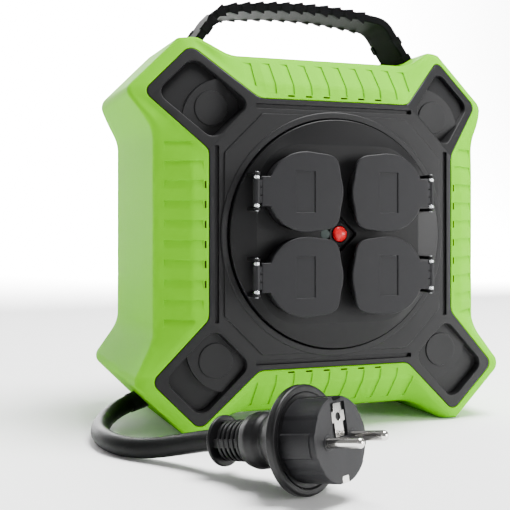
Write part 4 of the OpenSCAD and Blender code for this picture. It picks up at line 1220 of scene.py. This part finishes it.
def earth_skin():
    """The bright earth contacts: a holed plate sunk in the front, a strip on the upper side, and a small
    tongue in the window below."""
    skin = Skin()
    back = PLUG_FACE_END - 1.25
    front = back + 1.0
    half = [(-16.5, 2.8), (-12.9, 2.8), (-12.9, 4.7), (-8.0, 4.7), (-8.0, 3.1), (-1.5, 3.1)]
    plate = [(x, -y) for x, y in half] + half[::-1]
    hole = circle(1.9, -10.4, 0, 40)
    loops = skin.loft([at_height(plate, back), at_height(plate, front)])
    cut = skin.loft([at_height(hole, back), at_height(hole, front)])
    skin.fill(loops[0], [cut[0]])
    skin.fill(loops[1], [cut[1]])
    skin.box((-19.3, -2.4, 2.5), (-18.4, 2.4, 17.5))
    skin.box((17.0, -2.4, 2.5), (18.0, 2.4, PLUG_FACE_END - 0.4))
    skin.box((16.0, -2.4, PLUG_FACE_END - 1.0), (19.3, 2.4, PLUG_FACE_END - 0.1))
    return skin


def plug_piece(name, skin, material, slot, node, **settings):
    return piece(name, skin, [material], "casing", slot, [node], on_plug, **settings)


plug_pieces = [
    plug_piece("plug_shell", plug_body_skin(), plug_pvc, "plug_rubber", "plug_body", sharp=45),
    plug_piece("plug_strain_relief", plug_boot_skin(), plug_pvc, "plug_rubber", "plug_boot", sharp=45),
    plug_piece("plug_front", plug_face_skin(), plug_insert, "plug_insert", "plug_face", bevel=0.12,
               sharp=35),
    plug_piece("contact_pins", pins_skin(), nickel, "nickel_pins", "plug_pins", sharp=45),
    plug_piece("earth_contacts", earth_skin(), nickel, "nickel_pins", "plug_earth_contacts", bevel=0.15),
]


# ---------- cable outlet ----------
def bush_skin():
    """The slim tapered bush where the lead leaves the casing."""
    skin = Skin()
    skin.lathe([(0, 0.0), (5.8, 0.0), (6.05, 0.3), (6.4, 14.0), (9.3, 35.8), (0, 36.0)], count=64)
    return skin


def on_bush(p):
    """The bush's coordinates: z from its tip, where the lead starts, back into the casing."""
    side = unit(np.cross(BUSH_DIR, [0, 0, 1]))
    up = np.cross(side, BUSH_DIR)
    return tuple(np.array(CORD_ROUTE[0]) + p[0] * side + p[1] * up + p[2] * BUSH_DIR)


piece("cable_outlet", bush_skin(), [soft_rubber], "casing", "soft_rubber", ["cable_outlet_bush"], on_bush,
      sharp=45)


# ---------- wound cord ----------
WINDING_R = 80.5
WINDING_PITCH = 11.5
WINDING_TURNS = 7.5
WINDING_MIDDLE = 5.95
WINDING_START = math.radians(200)
WINDING_CORD_R = CORD_D / 2 - 0.1
LAYERS_R = (45.4, 73.9)
LAYERS_ENDS = (-55.6, 43.7)


def winding_skin():
    """The outer layer's turns, side by side, over the plain core of the layers below."""
    skin = Skin()
    inner, outer = LAYERS_R
    low, high = LAYERS_ENDS
    skin.lathe([(inner, low), (inner, high), (outer, high), (outer, low)], closed=True)
    steps = 72
    axis = np.array([0, 0, 1])
    rings = []
    for k in range(int(WINDING_TURNS * steps) + 1):
        angle = WINDING_START + 2 * math.pi * k / steps
        along = WINDING_PITCH * (k / steps - WINDING_TURNS / 2) - WINDING_MIDDLE
        out = np.array([math.cos(angle), math.sin(angle), 0])
        middle = WINDING_R * out + along * axis
        rings.append([middle + WINDING_CORD_R * (math.cos(t) * out + math.sin(t) * axis)
                      for t in np.linspace(0, 2 * math.pi, 16, endpoint=False)])
    skin.bar(rings)
    return skin


piece("wound_cord", winding_skin(), [cord_rubber], "drum", "cord_rubber", ["cable_winding"], on_drum)


# ---------- pieces whose construction shape is right ----------
# Each finish with the width of its soft edges and the nodes that have it
NODE_FINISHES = [
    (zinc, 0, ["casing_screws", "handle_anchor_pins", "flap_hinge_pins", "carrier_screws", "disc_screws",
               "knob_axle"]),
    (acetal, 0, ["front_bearing_ring", "rear_bearing_ring", "terminal_block"]),
    (brass, 0, ["outlet_earth_clips", "outlet_contacts"]),
    (drum_pp, 0, ["drum_front_flange", "drum_core", "drum_rear_flange", "cord_clamp"]),
    (black_pp, 0, ["breaker_body"]),
    (lens_pc, 0, ["indicator_lens"]),
    (hub_pa, 0.3, ["breaker_collar"]),
    (hub_pa, 0.6, ["winding_disc"]),
    (knob_pp, 0.4, ["winding_knob"]),
    (soft_rubber, 0, ["seal_" + spot for spot in OUTLETS]),
    (outlet_pa, 0.4, ["outlet_" + spot for spot in OUTLETS]),
]
for material, edge, names in NODE_FINISHES:
    for node in (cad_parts[name] for name in names):
        node.data.materials.clear()
        node.data.materials.append(material)
        if edge:
            weld = node.modifiers.new("weld", "WELD")
            weld.merge_threshold = 0.005 * MM
            soften_edges(node, edge)


# ---------- floor and light ----------
FLOOR_FRONT = -4000
FLOOR_BACK = 2500
FLOOR_CURVE_R = 1500
FLOOR_TOP = 5000
FLOOR_HALF = 6000


def make_stage():
    """A pale floor that curves up far behind."""
    skin = Skin()
    curved = [(FLOOR_BACK + FLOOR_CURVE_R * math.sin(t), FLOOR_CURVE_R * (1 - math.cos(t)))
              for t in np.linspace(0.1, math.pi / 2, 14)]
    line = [(FLOOR_FRONT, 0), (FLOOR_BACK, 0), *curved, (FLOOR_BACK + FLOOR_CURVE_R, FLOOR_TOP)]
    left, right = (skin.loop([(x, y, z) for y, z in line]) for x in (-FLOOR_HALF, FLOOR_HALF))
    skin.band(left, right, closed=False)
    mesh = bpy.data.meshes.new("floor")
    mesh.from_pydata([tuple(c * MM for c in p) for p in skin.points], [], skin.faces)
    mesh.shade_smooth()
    floor = bpy.data.objects.new("floor", mesh)
    bpy.context.scene.collection.objects.link(floor)
    material, tree, shader = new_material("pale floor", 0.9)
    shader.inputs["Base Color"].default_value = colour("#FCFCFC")
    shader.inputs["Specular IOR Level"].default_value = 0.1
    mesh.materials.append(material)


def add_light(name, place, target, size, power):
    """A round white light, size mm across, that shines on a target."""
    data = bpy.data.lights.new(name, "AREA")
    data.shape = "DISK"
    data.size = size * MM
    data.energy = power
    light = bpy.data.objects.new(name, data)
    light.location = [c * MM for c in place]
    aim = Vector(target) - Vector(place)
    light.rotation_euler = aim.to_track_quat("-Z", "Y").to_euler()
    bpy.context.scene.collection.objects.link(light)


make_stage()
add_light("softbox", (1260, -1180, 330), (0, 0, 110), 800, 32)
add_light("overhead", (380, -250, 1650), (0, 0, 100), 1000, 98)
add_light("left fill", (-1500, -700, 500), (0, 0, 110), 900, 1)
add_light("backdrop", (1100, 1500, 1500), (1100, 3600, 500), 1400, 1250)
world = bpy.data.worlds.new("studio")
world.use_nodes = True
world.node_tree.nodes["Background"].inputs["Color"].default_value = (1, 1, 1, 1)
world.node_tree.nodes["Background"].inputs["Strength"].default_value = 0.32
bpy.context.scene.world = world
